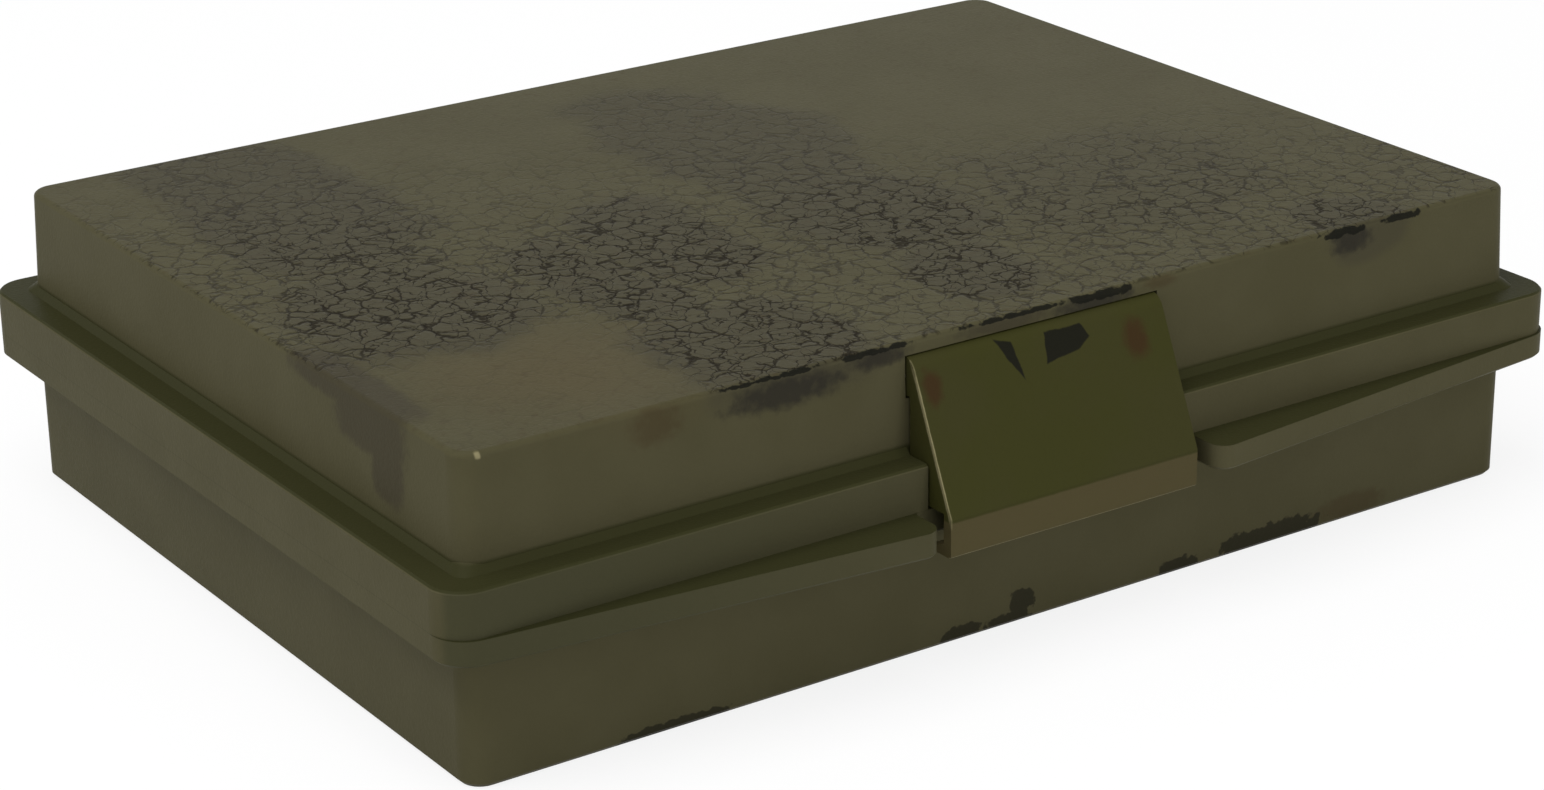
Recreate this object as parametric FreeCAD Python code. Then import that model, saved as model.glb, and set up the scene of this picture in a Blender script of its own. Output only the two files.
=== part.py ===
import FreeCAD, Part
import math
import os
from FreeCAD import Vector

# Travelling case for a fleet guessing game: a moulded tray and lid that close on a bowed front rim,
# with a swinging latch, two hinges, two pegged boards, five ships and a box of pegs.
# Millimetres. X runs right along the front, the front faces -Y, Z is up, the table is at Z = 0.

# Case outline
lid_width = 220.0
lid_depth = 159.0
case_height = 56.4
seam_height = 29.0
wall = 2.2
corner_radius = 4.2
lid_draft = 0.6
base_step = 0.3
flange_overhang = 6.0
flange_corner_radius = 6.2
lid_flange_height = 8.0
rim_height = 4.6
edge_round = 1.0
flange_bevel = 0.5
ledge_bevel = 1.1
foot_bevel = 0.8
ridge_height = 2.2
ridge_thickness = 1.6
seam_play = 0.3
pick_tolerance = 0.001

# Front rim, which widens from the corners to the latch
wing_reach = 8.4
wing_tip_radius = 3.0
notch_gap = 3.2
notch_corner_radius = 1.0

# Latch
latch_width = 52.4
latch_wall = 2.0
latch_lean = 24.0
latch_barrel_radius = 3.6
latch_axis_drop = 6.2
latch_axis_depth = 1.3
latch_break_drop = 0.2
latch_lip_below_rim = 2.4
latch_hook_height = 2.0
latch_play = 0.3
latch_side_play = 0.4
latch_pin_radius = 0.8
latch_pin_seat = 4.2
latch_edge_round = 0.6
running_clearance = 0.05

# Rear hinges
hinge_inset = 44.0
hinge_barrel_radius = 3.4
hinge_pin_radius = 1.5
lid_knuckle_length = 22.0
base_knuckle_length = 10.0
hinge_gap = 0.4
lid_stop_angle = 105.0
stop_heel_depth = 3.0
stop_play = 0.15

# Pegged boards
board_thickness = 2.0
board_play = 0.4
fleet_board_top = 14.0
target_board_depth = 16.4
grid_count = 10
grid_pitch = 13.0
peg_hole_radius = 1.3
peg_sides = 6
screw_inset = 6.0
screw_head_radius = 2.5
screw_head_height = 1.6
screw_shank_radius = 1.1
screw_length = 7.0
screw_sides = 8
boss_radius = 3.6
seat_gap = 0.1

# Pegs
peg_play = 0.15
peg_head_radius = 2.1
peg_head_height = 3.6
peg_pin_length = 7.0
peg_taper = 0.75
stored_columns = 2
stored_rows = 7

# Peg box and its two sliding doors
peg_box_width = 49.0
peg_box_height = 17.8
peg_box_wall = 1.8
peg_box_floor = 1.6
door_thickness = 1.2
door_play = 0.2
door_groove_depth = 0.9
door_track_pitch = 2.8
door_overlap = 2.0
door_grip_height = 0.8
door_grip_width = 18.0
door_grip_count = 3
door_grip_pitch = 3.2
door_grip_inset = 12.8
divider_thickness = 2.0

# Ships
carrier_holes = 5
heavy_cruiser_holes = 4
light_cruiser_holes = 3
submarine_holes = 3
patrol_boat_holes = 2
ship_beam = 9.0
ship_hull_height = 4.4
ship_end = 5.0
bow_length = 11.0
bow_steps = 4
stern_bevel = 1.6
keel_beam = 6.6
keel_length_loss = 4.0
ship_leg_length = 6.0
ship_leg_play = 0.3
ship_leg_taper = 0.8
deck_hole_depth = 3.2
flight_deck_beam = 10.8
flight_deck_thickness = 1.4
island_length = 9.0
island_width = 2.3
island_height = 3.4
bridge_length = 7.2
bridge_width = 5.2
bridge_height = 2.6
pilot_house_length = 3.6
pilot_house_width = 3.6
pilot_house_height = 1.8
house_draft = 0.4
funnel_radius = 1.2
funnel_height = 3.0
turret_radius = 2.3
turret_height = 1.8
turret_sides = 8
gun_radius = 0.45
gun_length = 5.0
mast_radius = 0.7
mast_height = 3.4
fin_length = 7.0
fin_width = 2.8
fin_height = 4.4
submarine_deck_beam = 4.6

# Worked-out sizes shared by several pieces
lid_x = lid_width / 2
lid_y = lid_depth / 2
foot_x = lid_x + lid_draft
foot_y = lid_y + lid_draft
flange_x = foot_x + flange_overhang
flange_y = foot_y + flange_overhang
base_x = foot_x + base_step
base_y = foot_y + base_step
flange_top = seam_height + lid_flange_height
rim_bottom = seam_height - rim_height
latch_x = latch_width / 2
niche_x = latch_x + latch_side_play
notch_x = latch_x + notch_gap
latch_axis_z = case_height - latch_axis_drop
inner_corner = max(corner_radius - wall, edge_round / 2)
wall_lean = lid_draft / (case_height - flange_top)
latch_axis_out = lid_y + wall_lean * latch_axis_drop - latch_axis_depth
hinge_y = flange_y + hinge_barrel_radius + hinge_gap
hinge_offset = lid_x - hinge_inset
fleet_board_bottom = fleet_board_top - board_thickness
target_board_face = case_height - target_board_depth
target_board_back = target_board_face + board_thickness
peg_box_right = base_x - wall - board_play
peg_box_left = peg_box_right - peg_box_width
peg_box_y = base_y - wall - board_play
peg_pin_radius = peg_hole_radius - peg_play
fleet_board_left = -(base_x - wall - board_play)
fleet_board_right = peg_box_left - board_play
fleet_centre = Vector((fleet_board_left + fleet_board_right) / 2, 0, fleet_board_top)
target_centre = Vector(0, 0, target_board_face)
lower_track = wall + peg_box_height - 2 * door_track_pitch
upper_track = lower_track + door_track_pitch


def outline(corners, z):
    """Closed wire through plan corners (x, y, radius), each rounded by a tangent arc."""
    edges = []
    spans = []
    count = len(corners)
    for index, (x, y, radius) in enumerate(corners):
        here = Vector(x, y, z)
        before = Vector(corners[index - 1][0], corners[index - 1][1], z) - here
        after_corner = corners[(index + 1) % count]
        after = Vector(after_corner[0], after_corner[1], z) - here
        before.normalize()
        after.normalize()
        if radius <= 0:
            spans.append((here, here))
            continue
        half_angle = before.getAngle(after) / 2
        reach = radius / math.tan(half_angle)
        bisector = before + after
        bisector.normalize()
        centre = here + bisector * (radius / math.sin(half_angle))
        start = here + before * reach
        end = here + after * reach
        edges.append(Part.Arc(start, centre - bisector * radius, end).toShape())
        spans.append((start, end))
    for index in range(count):
        leave = spans[index][1]
        arrive = spans[(index + 1) % count][0]
        if leave.distanceToPoint(arrive) > pick_tolerance:
            edges.append(Part.LineSegment(leave, arrive).toShape())
    return Part.Wire(Part.__sortEdges__(edges))


def rounded_rectangle(half_x, half_y, radius, z):
    """Plan outline centred on the origin."""
    signs = ((-1, -1), (1, -1), (1, 1), (-1, 1))
    return outline([(sx * half_x, sy * half_y, radius) for sx, sy in signs], z)


def plan_between(left, right, half_y, right_radius, z, left_radius=None):
    """Plan outline between two X values, with its own corner radius on either side."""
    far = right_radius if left_radius is None else left_radius
    corners = [(left, -half_y, far), (right, -half_y, right_radius)]
    corners += [(right, half_y, right_radius), (left, half_y, far)]
    return outline(corners, z)


def prism(wire, height):
    """Solid standing on a plan wire."""
    return Part.Face(wire).extrude(Vector(0, 0, height))


def box(low, high):
    """Box between two corners."""
    return Part.makeBox(high[0] - low[0], high[1] - low[1], high[2] - low[2], Vector(*low))


def side_prism(points, x_low, x_high):
    """Solid from a profile of (outward, z) points, where outward is -Y, carried along X."""
    ring = [Vector(x_low, -out, z) for out, z in points]
    return Part.Face(Part.makePolygon(ring + ring[:1])).extrude(Vector(x_high - x_low, 0, 0))


def bar_along_x(radius, y, z, x_low, x_high):
    """Round bar parallel to X."""
    return Part.makeCylinder(radius, x_high - x_low, Vector(x_low, y, z), Vector(1, 0, 0))


def many_sided(radius, centre, sides):
    """Ring of a small round hole, peg or screw, drawn with a few sides whose flats touch the radius."""
    reach = radius / math.cos(math.pi / sides)
    turns = [2 * math.pi * (side + 0.5) / sides for side in range(sides)]
    return [centre + Vector(reach * math.cos(turn), reach * math.sin(turn), 0) for turn in turns]


def rectangle(half_x, half_y, z):
    """Ring of a rectangle centred on the Z axis."""
    return [Vector(sx * half_x, sy * half_y, z) for sx, sy in ((-1, -1), (1, -1), (1, 1), (-1, 1))]


def closed(ring):
    """Wire through a ring of points."""
    return Part.makePolygon(ring + ring[:1])


def flat_faced(low, high):
    """Solid between two rings of equally many points, with a side that isn't flat split in two."""
    sides = [low[::-1], high]
    for index in range(len(low)):
        after = (index + 1) % len(low)
        quad = [low[index], low[after], high[after], high[index]]
        normal = (quad[1] - quad[0]).cross(quad[3] - quad[0])
        is_flat = abs((quad[2] - quad[0]).dot(normal)) < pick_tolerance * normal.Length
        sides += [quad] if is_flat else [quad[:3], [quad[0], quad[2], quad[3]]]
    return Part.makeSolid(Part.makeShell([Part.Face(closed(side)) for side in sides]))


def fillet_at(solid, radius, chosen):
    """Rounds the edges that a test picks."""
    return solid.makeFillet(radius, [edge for edge in solid.Edges if chosen(edge)])


def bevel_at(solid, size, chosen):
    """Bevels the edges that a test picks."""
    return solid.makeChamfer(size, [edge for edge in solid.Edges if chosen(edge)])


def flat_at(edge, z):
    """True for an edge that lies at one height."""
    return abs(edge.BoundBox.ZMin - z) < pick_tolerance and abs(edge.BoundBox.ZMax - z) < pick_tolerance


def rises(edge):
    """True for an edge that runs up from one height to another."""
    return edge.BoundBox.ZLength > pick_tolerance


def rim_wire(z):
    """Outline of the tray's rim: a rounded rectangle whose front widens to a notch for the latch."""
    tip_y = -(flange_y + wing_reach)
    left = [
        (-flange_x, flange_y, flange_corner_radius),
        (-flange_x, -flange_y, flange_corner_radius),
        (-notch_x, tip_y, wing_tip_radius),
        (-notch_x, -flange_y, notch_corner_radius),
    ]
    right = [(-x, y, radius) for x, y, radius in reversed(left)]
    return outline(left + right, z)


def knuckle(arm_low, arm_high, x_low, x_high):
    """Hinge barrel on the rear axis with a tapered arm from the flange's rear face."""
    barrel = bar_along_x(hinge_barrel_radius, hinge_y, seam_height, x_low, x_high)
    rise = 1 if arm_high > seam_height else -1
    far = arm_high if rise > 0 else arm_low
    arm = side_prism(
        [
            (-(flange_y - wall), seam_height),
            (-hinge_y, seam_height),
            (-hinge_y, seam_height + rise * hinge_barrel_radius),
            (-flange_y, far),
            (-(flange_y - wall), far),
        ],
        x_low,
        x_high,
    )
    return barrel.fuse(arm)


def stop_heel(x_low, x_high):
    """Nose under a lid knuckle that meets the tray's rear face when the lid is fully open."""
    reach = hinge_y - flange_y - stop_play
    heel = box((x_low, hinge_y - reach, seam_height - stop_heel_depth), (x_high, hinge_y, seam_height))
    axis_point = Vector(0, hinge_y, seam_height)
    heel.rotate(axis_point, Vector(1, 0, 0), lid_stop_angle)
    return heel


def hinge_spans(side):
    """X ranges of one hinge's lid knuckle and of its two tray knuckles."""
    middle = side * hinge_offset
    lid_half = lid_knuckle_length / 2
    near = lid_half + hinge_gap
    far = near + base_knuckle_length
    tray_spans = ((middle - far, middle - near), (middle + near, middle + far))
    return (middle - lid_half, middle + lid_half), tray_spans


def screw_places(left, right, half_y):
    """One screw in each corner of a board."""
    columns = (left + screw_inset, right - screw_inset)
    return [Vector(x, y, 0) for x in columns for y in (-half_y + screw_inset, half_y - screw_inset)]


def fleet_screw_places():
    """Screws of the board in the tray."""
    return screw_places(fleet_board_left, fleet_board_right, peg_box_y)


def target_board_half():
    """Half width and half depth of the board in the lid."""
    return lid_x - wall - board_play, lid_y - wall - board_play


def target_screw_places():
    """Screws of the board in the lid."""
    half_x, half_y = target_board_half()
    return screw_places(-half_x, half_x, half_y)


def make_base_shell():
    """Tray with a turned-down rim, a locating ridge, board bosses and rear knuckles."""
    body = prism(rounded_rectangle(base_x, base_y, corner_radius, 0), seam_height)
    body = bevel_at(body, foot_bevel, lambda edge: flat_at(edge, 0))
    rim = prism(rim_wire(rim_bottom), rim_height)
    rim = bevel_at(rim, flange_bevel, lambda edge: flat_at(edge, rim_bottom))
    under_rim = prism(rim_wire(rim_bottom).makeOffset2D(-wall), rim_height - wall)
    rim = rim.cut(under_rim)
    shell = body.fuse(rim)
    cavity = prism(rounded_rectangle(base_x - wall, base_y - wall, inner_corner, wall), seam_height)
    shell = shell.cut(cavity)
    shell = shell.fuse(make_ridge())
    boss_height = fleet_board_bottom - wall
    for place in fleet_screw_places():
        foot = place + Vector(0, 0, wall)
        boss = prism(closed(many_sided(boss_radius, foot, screw_sides)), boss_height)
        shell = shell.fuse(boss).cut(screw_shank(place, fleet_board_top, -1))
    for side in (-1, 1):
        for x_low, x_high in hinge_spans(side)[1]:
            shell = shell.fuse(knuckle(rim_bottom, seam_height, x_low, x_high))
        shell = shell.cut(make_hinge_pin(side))
    return shell.removeSplitter()


def make_ridge():
    """Low ridge on the rim that centres the lid's skirt, open at the latch."""
    outer_x = flange_x - wall - seam_play
    outer_y = flange_y - wall - seam_play
    outer_radius = flange_corner_radius - wall
    inner_radius = outer_radius - ridge_thickness
    outer = prism(rounded_rectangle(outer_x, outer_y, outer_radius, seam_height), ridge_height)
    inner = rounded_rectangle(outer_x - ridge_thickness, outer_y - ridge_thickness, inner_radius, seam_height)
    gap_x = niche_x + wall + seam_play
    gap = box((-gap_x, -flange_y, seam_height), (gap_x, 0, seam_height + ridge_height))
    return outer.cut(prism(inner, ridge_height)).cut(gap)


def make_lid_shell():
    """Lid with a stepped skirt, a niche and barrel pocket for the latch, bosses and rear knuckles."""
    upper = flat_faced(rectangle(foot_x, foot_y, flange_top), rectangle(lid_x, lid_y, case_height))
    upper = fillet_at(upper, corner_radius, rises)
    upper = fillet_at(upper, edge_round, lambda edge: flat_at(edge, case_height))
    skirt = prism(rounded_rectangle(flange_x, flange_y, flange_corner_radius, seam_height), lid_flange_height)
    skirt = bevel_at(skirt, flange_bevel, lambda edge: flat_at(edge, flange_top))
    shell = upper.fuse([skirt, ledge_slope()])
    niche = box((-niche_x, -flange_y - wall, seam_height), (niche_x, -foot_y, flange_top + ledge_bevel))
    shell = shell.cut(niche)
    shell = shell.cut(lid_cavity())
    pocket = bar_along_x(latch_barrel_radius + latch_play, -latch_axis_out, latch_axis_z, -niche_x, niche_x)
    shell = shell.cut(pocket).cut(make_latch_pin())
    boss_height = case_height - wall / 2 - target_board_back
    for place in target_screw_places():
        foot = place + Vector(0, 0, target_board_back)
        boss = prism(closed(many_sided(boss_radius, foot, screw_sides)), boss_height)
        shell = shell.fuse(boss).cut(screw_shank(place, target_board_face, 1))
    for side in (-1, 1):
        x_low, x_high = hinge_spans(side)[0]
        shell = shell.fuse(knuckle(seam_height, flange_top - flange_bevel, x_low, x_high))
        shell = shell.fuse(stop_heel(x_low, x_high))
        bore = hinge_pin_radius + running_clearance
        shell = shell.cut(bar_along_x(bore, hinge_y, seam_height, x_low - hinge_gap, x_high + hinge_gap))
    return shell.removeSplitter()


def ledge_slope():
    """Sloped foot in the corner between the skirt's ledge and the lid's upper walls."""
    low = rectangle(foot_x + ledge_bevel, foot_y + ledge_bevel, flange_top)
    high = rectangle(foot_x - ledge_bevel, foot_y - ledge_bevel, flange_top + 2 * ledge_bevel)
    return fillet_at(flat_faced(low, high), corner_radius, rises)


def lid_cavity():
    """Space inside the lid, stepped out in the skirt, less the walls behind the latch."""
    main = rounded_rectangle(lid_x - wall, lid_y - wall, inner_corner, seam_height)
    skirt = rounded_rectangle(flange_x - wall, flange_y - wall, flange_corner_radius - wall, seam_height)
    space = prism(main, case_height - wall - seam_height).fuse(prism(skirt, lid_flange_height - wall))
    niche_wall = box(
        (-niche_x - wall, -flange_y - wall, seam_height), (niche_x + wall, -(foot_y - wall), flange_top)
    )
    reach = latch_barrel_radius + latch_play + wall
    pin_end = niche_x + latch_pin_seat
    pocket_wall = box(
        (-pin_end, -lid_y, latch_axis_z - reach), (pin_end, -(latch_axis_out - reach), case_height)
    )
    return space.cut(niche_wall).cut(pocket_wall)


def latch_plate_out(z, depth):
    """Outward reach of the latch plate at a height, measured a depth behind its outer face."""
    lean = math.radians(latch_lean)
    distance = latch_barrel_radius - depth
    return latch_axis_out + (distance - (z - latch_axis_z) * math.sin(lean)) / math.cos(lean)


def make_front_latch():
    """Leaning plate with a lip and hook, two closed cheeks and a barrel round its pin."""
    lean = math.radians(latch_lean)
    normal = (math.cos(lean), math.sin(lean))
    tangent_out = latch_axis_out + latch_barrel_radius * normal[0]
    tangent_z = latch_axis_z + latch_barrel_radius * normal[1]
    break_z = seam_height - latch_break_drop
    break_out = latch_plate_out(break_z, 0)
    lip_z = rim_bottom - latch_lip_below_rim
    hook_out = flange_y + latch_play
    lip_inner = break_out - latch_wall
    cheek_z = seam_height + latch_side_play
    cheek_back = foot_y + latch_side_play
    barrel = bar_along_x(latch_barrel_radius, -latch_axis_out, latch_axis_z, -latch_x, latch_x)
    wedge = side_prism(
        [
            (latch_axis_out, latch_axis_z),
            (tangent_out, tangent_z),
            (break_out, break_z),
            (break_out, lip_z),
            (hook_out, lip_z),
            (hook_out, lip_z + latch_hook_height / 2),
            (lip_inner, lip_z + latch_hook_height),
            (lip_inner, cheek_z),
            (cheek_back, cheek_z),
            (cheek_back, latch_axis_z - latch_barrel_radius),
        ],
        -latch_x,
        latch_x,
    )
    inner_top = latch_axis_z - latch_barrel_radius - latch_wall / 2
    hollow = side_prism(
        [
            (cheek_back - wall, inner_top),
            (latch_plate_out(inner_top, latch_wall), inner_top),
            (lip_inner, break_z),
            (lip_inner, lip_z + latch_hook_height),
            (cheek_back - wall, lip_z + latch_hook_height),
        ],
        -latch_x + latch_wall,
        latch_x - latch_wall,
    )
    latch = wedge.cut(hollow).fuse(barrel)
    bore = latch_pin_radius + running_clearance
    latch = latch.cut(bar_along_x(bore, -latch_axis_out, latch_axis_z, -niche_x, niche_x)).removeSplitter()
    return fillet_at(latch, latch_edge_round, lambda edge: along_front(edge, break_out))


def along_front(edge, out):
    """True for an edge that runs the latch's full width at one outward reach."""
    bounds = edge.BoundBox
    level = bounds.YLength < pick_tolerance and abs(bounds.YMin + out) < pick_tolerance
    return level and bounds.XLength > latch_x


def make_latch_pin():
    """Wire pin that the latch swings on, held in the lid wall at both ends."""
    pin_end = niche_x + latch_pin_seat
    return bar_along_x(latch_pin_radius, -latch_axis_out, latch_axis_z, -pin_end, pin_end)


def make_hinge_pin(side):
    """Steel pin held by a hinge's two tray knuckles."""
    outer = hinge_spans(side)[1]
    return bar_along_x(hinge_pin_radius, hinge_y, seam_height, outer[0][0], outer[1][1])


def grid_place(column, row, centre):
    """Centre of a grid hole, counted from the front left."""
    middle = (grid_count - 1) / 2
    return centre + Vector((column - middle) * grid_pitch, (row - middle) * grid_pitch, 0)


def make_board(left, right, half_y, centre, screw_spots, z):
    """Flat board with a square grid of peg holes and a clearance hole for each screw."""
    edge = plan_between(left, right, half_y, inner_corner, z)
    flat_centre = Vector(centre.x, centre.y, z)
    holes = [
        closed(many_sided(peg_hole_radius, grid_place(column, row, flat_centre), peg_sides))
        for column in range(grid_count)
        for row in range(grid_count)
    ]
    for spot in screw_spots:
        holes.append(closed(many_sided(screw_shank_radius, spot + Vector(0, 0, z), screw_sides)))
    face = Part.makeFace([edge] + holes, "Part::FaceMakerBullseye")
    return face.extrude(Vector(0, 0, board_thickness))


def make_fleet_board():
    """Board in the tray that the ships stand on."""
    return make_board(
        fleet_board_left, fleet_board_right, peg_box_y, fleet_centre, fleet_screw_places(), fleet_board_bottom
    )


def make_target_board():
    """Board in the lid, face down when the case is shut."""
    half_x, half_y = target_board_half()
    return make_board(-half_x, half_x, half_y, target_centre, target_screw_places(), target_board_face)


def screw_shank(place, face_z, direction):
    """Shank of one screw, driven from a board's face along Z."""
    start = Vector(place.x, place.y, face_z)
    return prism(closed(many_sided(screw_shank_radius, start, screw_sides)), direction * screw_length)


def screw_head(place, face_z, direction):
    """Domed head of one screw, standing on a board's face."""
    crown_z = face_z - direction * screw_head_height
    foot = many_sided(screw_head_radius, Vector(place.x, place.y, face_z), screw_sides)
    crown = many_sided(screw_head_radius / 2, Vector(place.x, place.y, crown_z), screw_sides)
    return flat_faced(foot, crown) if crown_z > face_z else flat_faced(crown, foot)


def make_screws(places, face_z, direction):
    """Screws that hold a board to its bosses."""
    screws = []
    for place in places:
        screws.append(screw_shank(place, face_z, direction).fuse(screw_head(place, face_z, direction)))
    return Part.makeCompound(screws)


def make_peg(start, direction):
    """Peg whose head ends at a point and whose tapered pin runs on from there."""
    frame = FreeCAD.Rotation(Vector(0, 0, 1), direction)
    head_ring = many_sided(peg_head_radius, Vector(0, 0, -peg_head_height), peg_sides)
    root_ring = many_sided(peg_pin_radius, Vector(0, 0, 0), peg_sides)
    tip_ring = many_sided(peg_pin_radius * peg_taper, Vector(0, 0, peg_pin_length), peg_sides)
    head = prism(closed(head_ring), peg_head_height)
    pin = flat_faced(root_ring, tip_ring)
    peg = head.fuse(pin)
    peg.Placement = FreeCAD.Placement(start, frame)
    return peg


def target_square(square):
    """Centre of a square of the target board, named by its row's letter and its column's number."""
    row = ord(square[0]) - ord("A")
    column = int(square[1:]) - 1
    return grid_place(column, row, target_centre)


def make_marker_pegs(squares):
    """Pegs pushed up into the target board from its face."""
    return Part.makeCompound([make_peg(target_square(square), Vector(0, 0, 1)) for square in squares])


def make_stored_pegs(y_low, y_high):
    """One layer of pegs lying side by side on the floor of a well."""
    rest_z = wall + peg_box_floor + peg_head_radius + seat_gap
    inner_left = peg_box_left + peg_box_wall
    column_pitch = (peg_box_width - 2 * peg_box_wall) / stored_columns
    row_pitch = (y_high - y_low) / stored_rows
    pegs = []
    for column in range(stored_columns):
        for row in range(stored_rows):
            heading = 1 if (row + column) % 2 else -1
            middle_x = inner_left + (column + 0.5) * column_pitch
            shoulder_x = middle_x - heading * (peg_pin_length - peg_head_height) / 2
            shoulder = Vector(shoulder_x, y_low + (row + 0.5) * row_pitch, rest_z)
            pegs.append(make_peg(shoulder, Vector(heading, 0, 0)))
    return Part.makeCompound(pegs)


def make_peg_box():
    """Two-well box with a pair of grooves along each long side for the doors."""
    top = wall + peg_box_height
    floor_z = wall + peg_box_floor
    shell = prism(plan_between(peg_box_left, peg_box_right, peg_box_y, inner_corner, wall, 0), peg_box_height)
    inner_left = peg_box_left + peg_box_wall
    inner_right = peg_box_right - peg_box_wall
    for y_low, y_high in well_spans():
        shell = shell.cut(box((inner_left, y_low, floor_z), (inner_right, y_high, top)))
    shell = shell.cut(box((inner_left, -peg_box_y, lower_track - door_play), (inner_right, peg_box_y, top)))
    for track in (lower_track, upper_track):
        groove = box(
            (inner_left - door_groove_depth, -peg_box_y, track - door_play),
            (inner_right + door_groove_depth, peg_box_y, track + door_thickness + door_play),
        )
        shell = shell.cut(groove)
    return shell.removeSplitter()


def well_spans():
    """Y ranges of the front and rear wells."""
    near = divider_thickness / 2
    far = peg_box_y - peg_box_wall
    return (-far, -near), (near, far)


def make_door(track, y_low, y_high, grip_y):
    """Sliding door with a few grip ribs near its free end."""
    inset = peg_box_wall - door_groove_depth + door_play
    low = (peg_box_left + inset, y_low, track)
    high = (peg_box_right - inset, y_high, track + door_thickness)
    door = box(low, high)
    middle = (low[0] + high[0]) / 2
    for index in range(door_grip_count):
        rib_y = grip_y + (index - (door_grip_count - 1) / 2) * door_grip_pitch
        rib_half = door_grip_pitch / 4
        rib = box(
            (middle - door_grip_width / 2, rib_y - rib_half, high[2]),
            (middle + door_grip_width / 2, rib_y + rib_half, high[2] + door_grip_height),
        )
        door = door.fuse(rib)
    return door.removeSplitter()


def make_red_peg_door():
    """Door over the front well, on the lower track."""
    grip_y = -peg_box_y + door_grip_inset
    return make_door(lower_track, -peg_box_y, door_overlap, grip_y)


def make_white_peg_door():
    """Door over the rear well, on the upper track."""
    grip_y = peg_box_y - door_grip_inset
    return make_door(upper_track, -door_overlap, peg_box_y, grip_y)


def ship_length(holes):
    """Length of a ship that covers a number of grid holes."""
    return (holes - 1) * grid_pitch + 2 * ship_end


def hole_x(index, holes):
    """X of a ship's peg hole, counted from the stern."""
    return (index - (holes - 1) / 2) * grid_pitch


def hull_ring(length, beam, z, pointed_stern=False):
    """Plan of a hull along X, whose half-beam falls along the bow as one less the square of the share run."""
    tip = length / 2
    half = beam / 2
    shoulder = tip - bow_length
    shares = [step / bow_steps for step in range(bow_steps)]
    starboard = [Vector(shoulder + share * bow_length, -half * (1 - share ** 2), z) for share in shares]
    port = [Vector(point.x, -point.y, z) for point in reversed(starboard)]
    bow = starboard + [Vector(tip, 0, z)] + port
    if pointed_stern:
        return bow + [Vector(-point.x, -point.y, z) for point in bow]
    quarter = [Vector(-tip + stern_bevel, half, z), Vector(-tip, half - stern_bevel, z)]
    return bow + quarter + [Vector(point.x, -point.y, z) for point in reversed(quarter)]


def make_hull(holes):
    """Flared hull standing on Z = 0."""
    length = ship_length(holes)
    keel = hull_ring(length - keel_length_loss, keel_beam, 0)
    deck = hull_ring(length, ship_beam, ship_hull_height)
    return flat_faced(keel, deck)


def finish_ship(body, holes, deck_z):
    """Adds the two legs under the end holes and cuts a peg hole above each grid hole."""
    leg_radius = peg_hole_radius - ship_leg_play
    for index in (0, holes - 1):
        root_centre = Vector(hole_x(index, holes), 0, 0)
        root = many_sided(leg_radius, root_centre, peg_sides)
        tip = many_sided(leg_radius * ship_leg_taper, root_centre - Vector(0, 0, ship_leg_length), peg_sides)
        body = body.fuse(flat_faced(tip, root))
    for index in range(holes):
        place = Vector(hole_x(index, holes), 0, deck_z - deck_hole_depth)
        body = body.cut(prism(closed(many_sided(peg_hole_radius, place, peg_sides)), case_height))
    return body.removeSplitter()


def turret(x, heading):
    """Gun house with a pair of barrels pointing forward (1) or aft (-1)."""
    foot = Vector(x, 0, ship_hull_height)
    house = prism(closed(many_sided(turret_radius, foot, turret_sides)), turret_height)
    guns = []
    for side in (-1, 1):
        gun = prism(closed(many_sided(gun_radius, Vector(0, 0, 0), peg_sides)), gun_length)
        gun.rotate(Vector(0, 0, 0), Vector(0, 1, 0), 90 * heading)
        gun.translate(foot + Vector(0, side * turret_radius / 3, turret_height / 2))
        guns.append(gun)
    return house.fuse(guns)


def deck_house(x, length, width, height, z):
    """Block of superstructure centred on X, with walls that lean in a little."""
    roof = rectangle(length / 2 - house_draft, width / 2 - house_draft, z + height)
    house = flat_faced(rectangle(length / 2, width / 2, z), roof)
    house.translate(Vector(x, 0, 0))
    return house


def bridge(x):
    """Bridge block with a pilot house on its fore end."""
    roof = ship_hull_height + bridge_height
    pilot_x = x + (bridge_length - pilot_house_length) / 2 - house_draft
    block = deck_house(x, bridge_length, bridge_width, bridge_height, ship_hull_height)
    pilot_house = deck_house(pilot_x, pilot_house_length, pilot_house_width, pilot_house_height, roof)
    return block.fuse(pilot_house)


def funnel(x):
    """Funnel on the aft end of a bridge block."""
    foot = Vector(x - bridge_length / 2 + 1.5 * funnel_radius, 0, ship_hull_height + bridge_height)
    return prism(closed(many_sided(funnel_radius, foot, turret_sides)), funnel_height)


def mast(x, y, z):
    """Plain mast."""
    return prism(closed(many_sided(mast_radius, Vector(x, y, z), peg_sides)), mast_height)


def make_carrier():
    """Five-hole ship with an overhanging flight deck and an island at its side."""
    half = ship_length(carrier_holes) / 2
    deck_z = ship_hull_height + flight_deck_thickness
    edge = flight_deck_beam / 2
    port = [(-half, edge, 0), (half - ship_end, edge, 0), (half, edge / 2, 0)]
    starboard = [(x, -y, 0) for x, y, _ in reversed(port)]
    flight_deck = prism(outline(port + starboard, ship_hull_height), flight_deck_thickness)
    island_x = grid_pitch / 2
    island = box(
        (island_x - island_length / 2, edge - island_width, deck_z),
        (island_x + island_length / 2, edge, deck_z + island_height),
    )
    pole = mast(island_x, edge - island_width / 2, deck_z + island_height)
    body = make_hull(carrier_holes).fuse([flight_deck, island, pole])
    return finish_ship(body, carrier_holes, deck_z)


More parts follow.
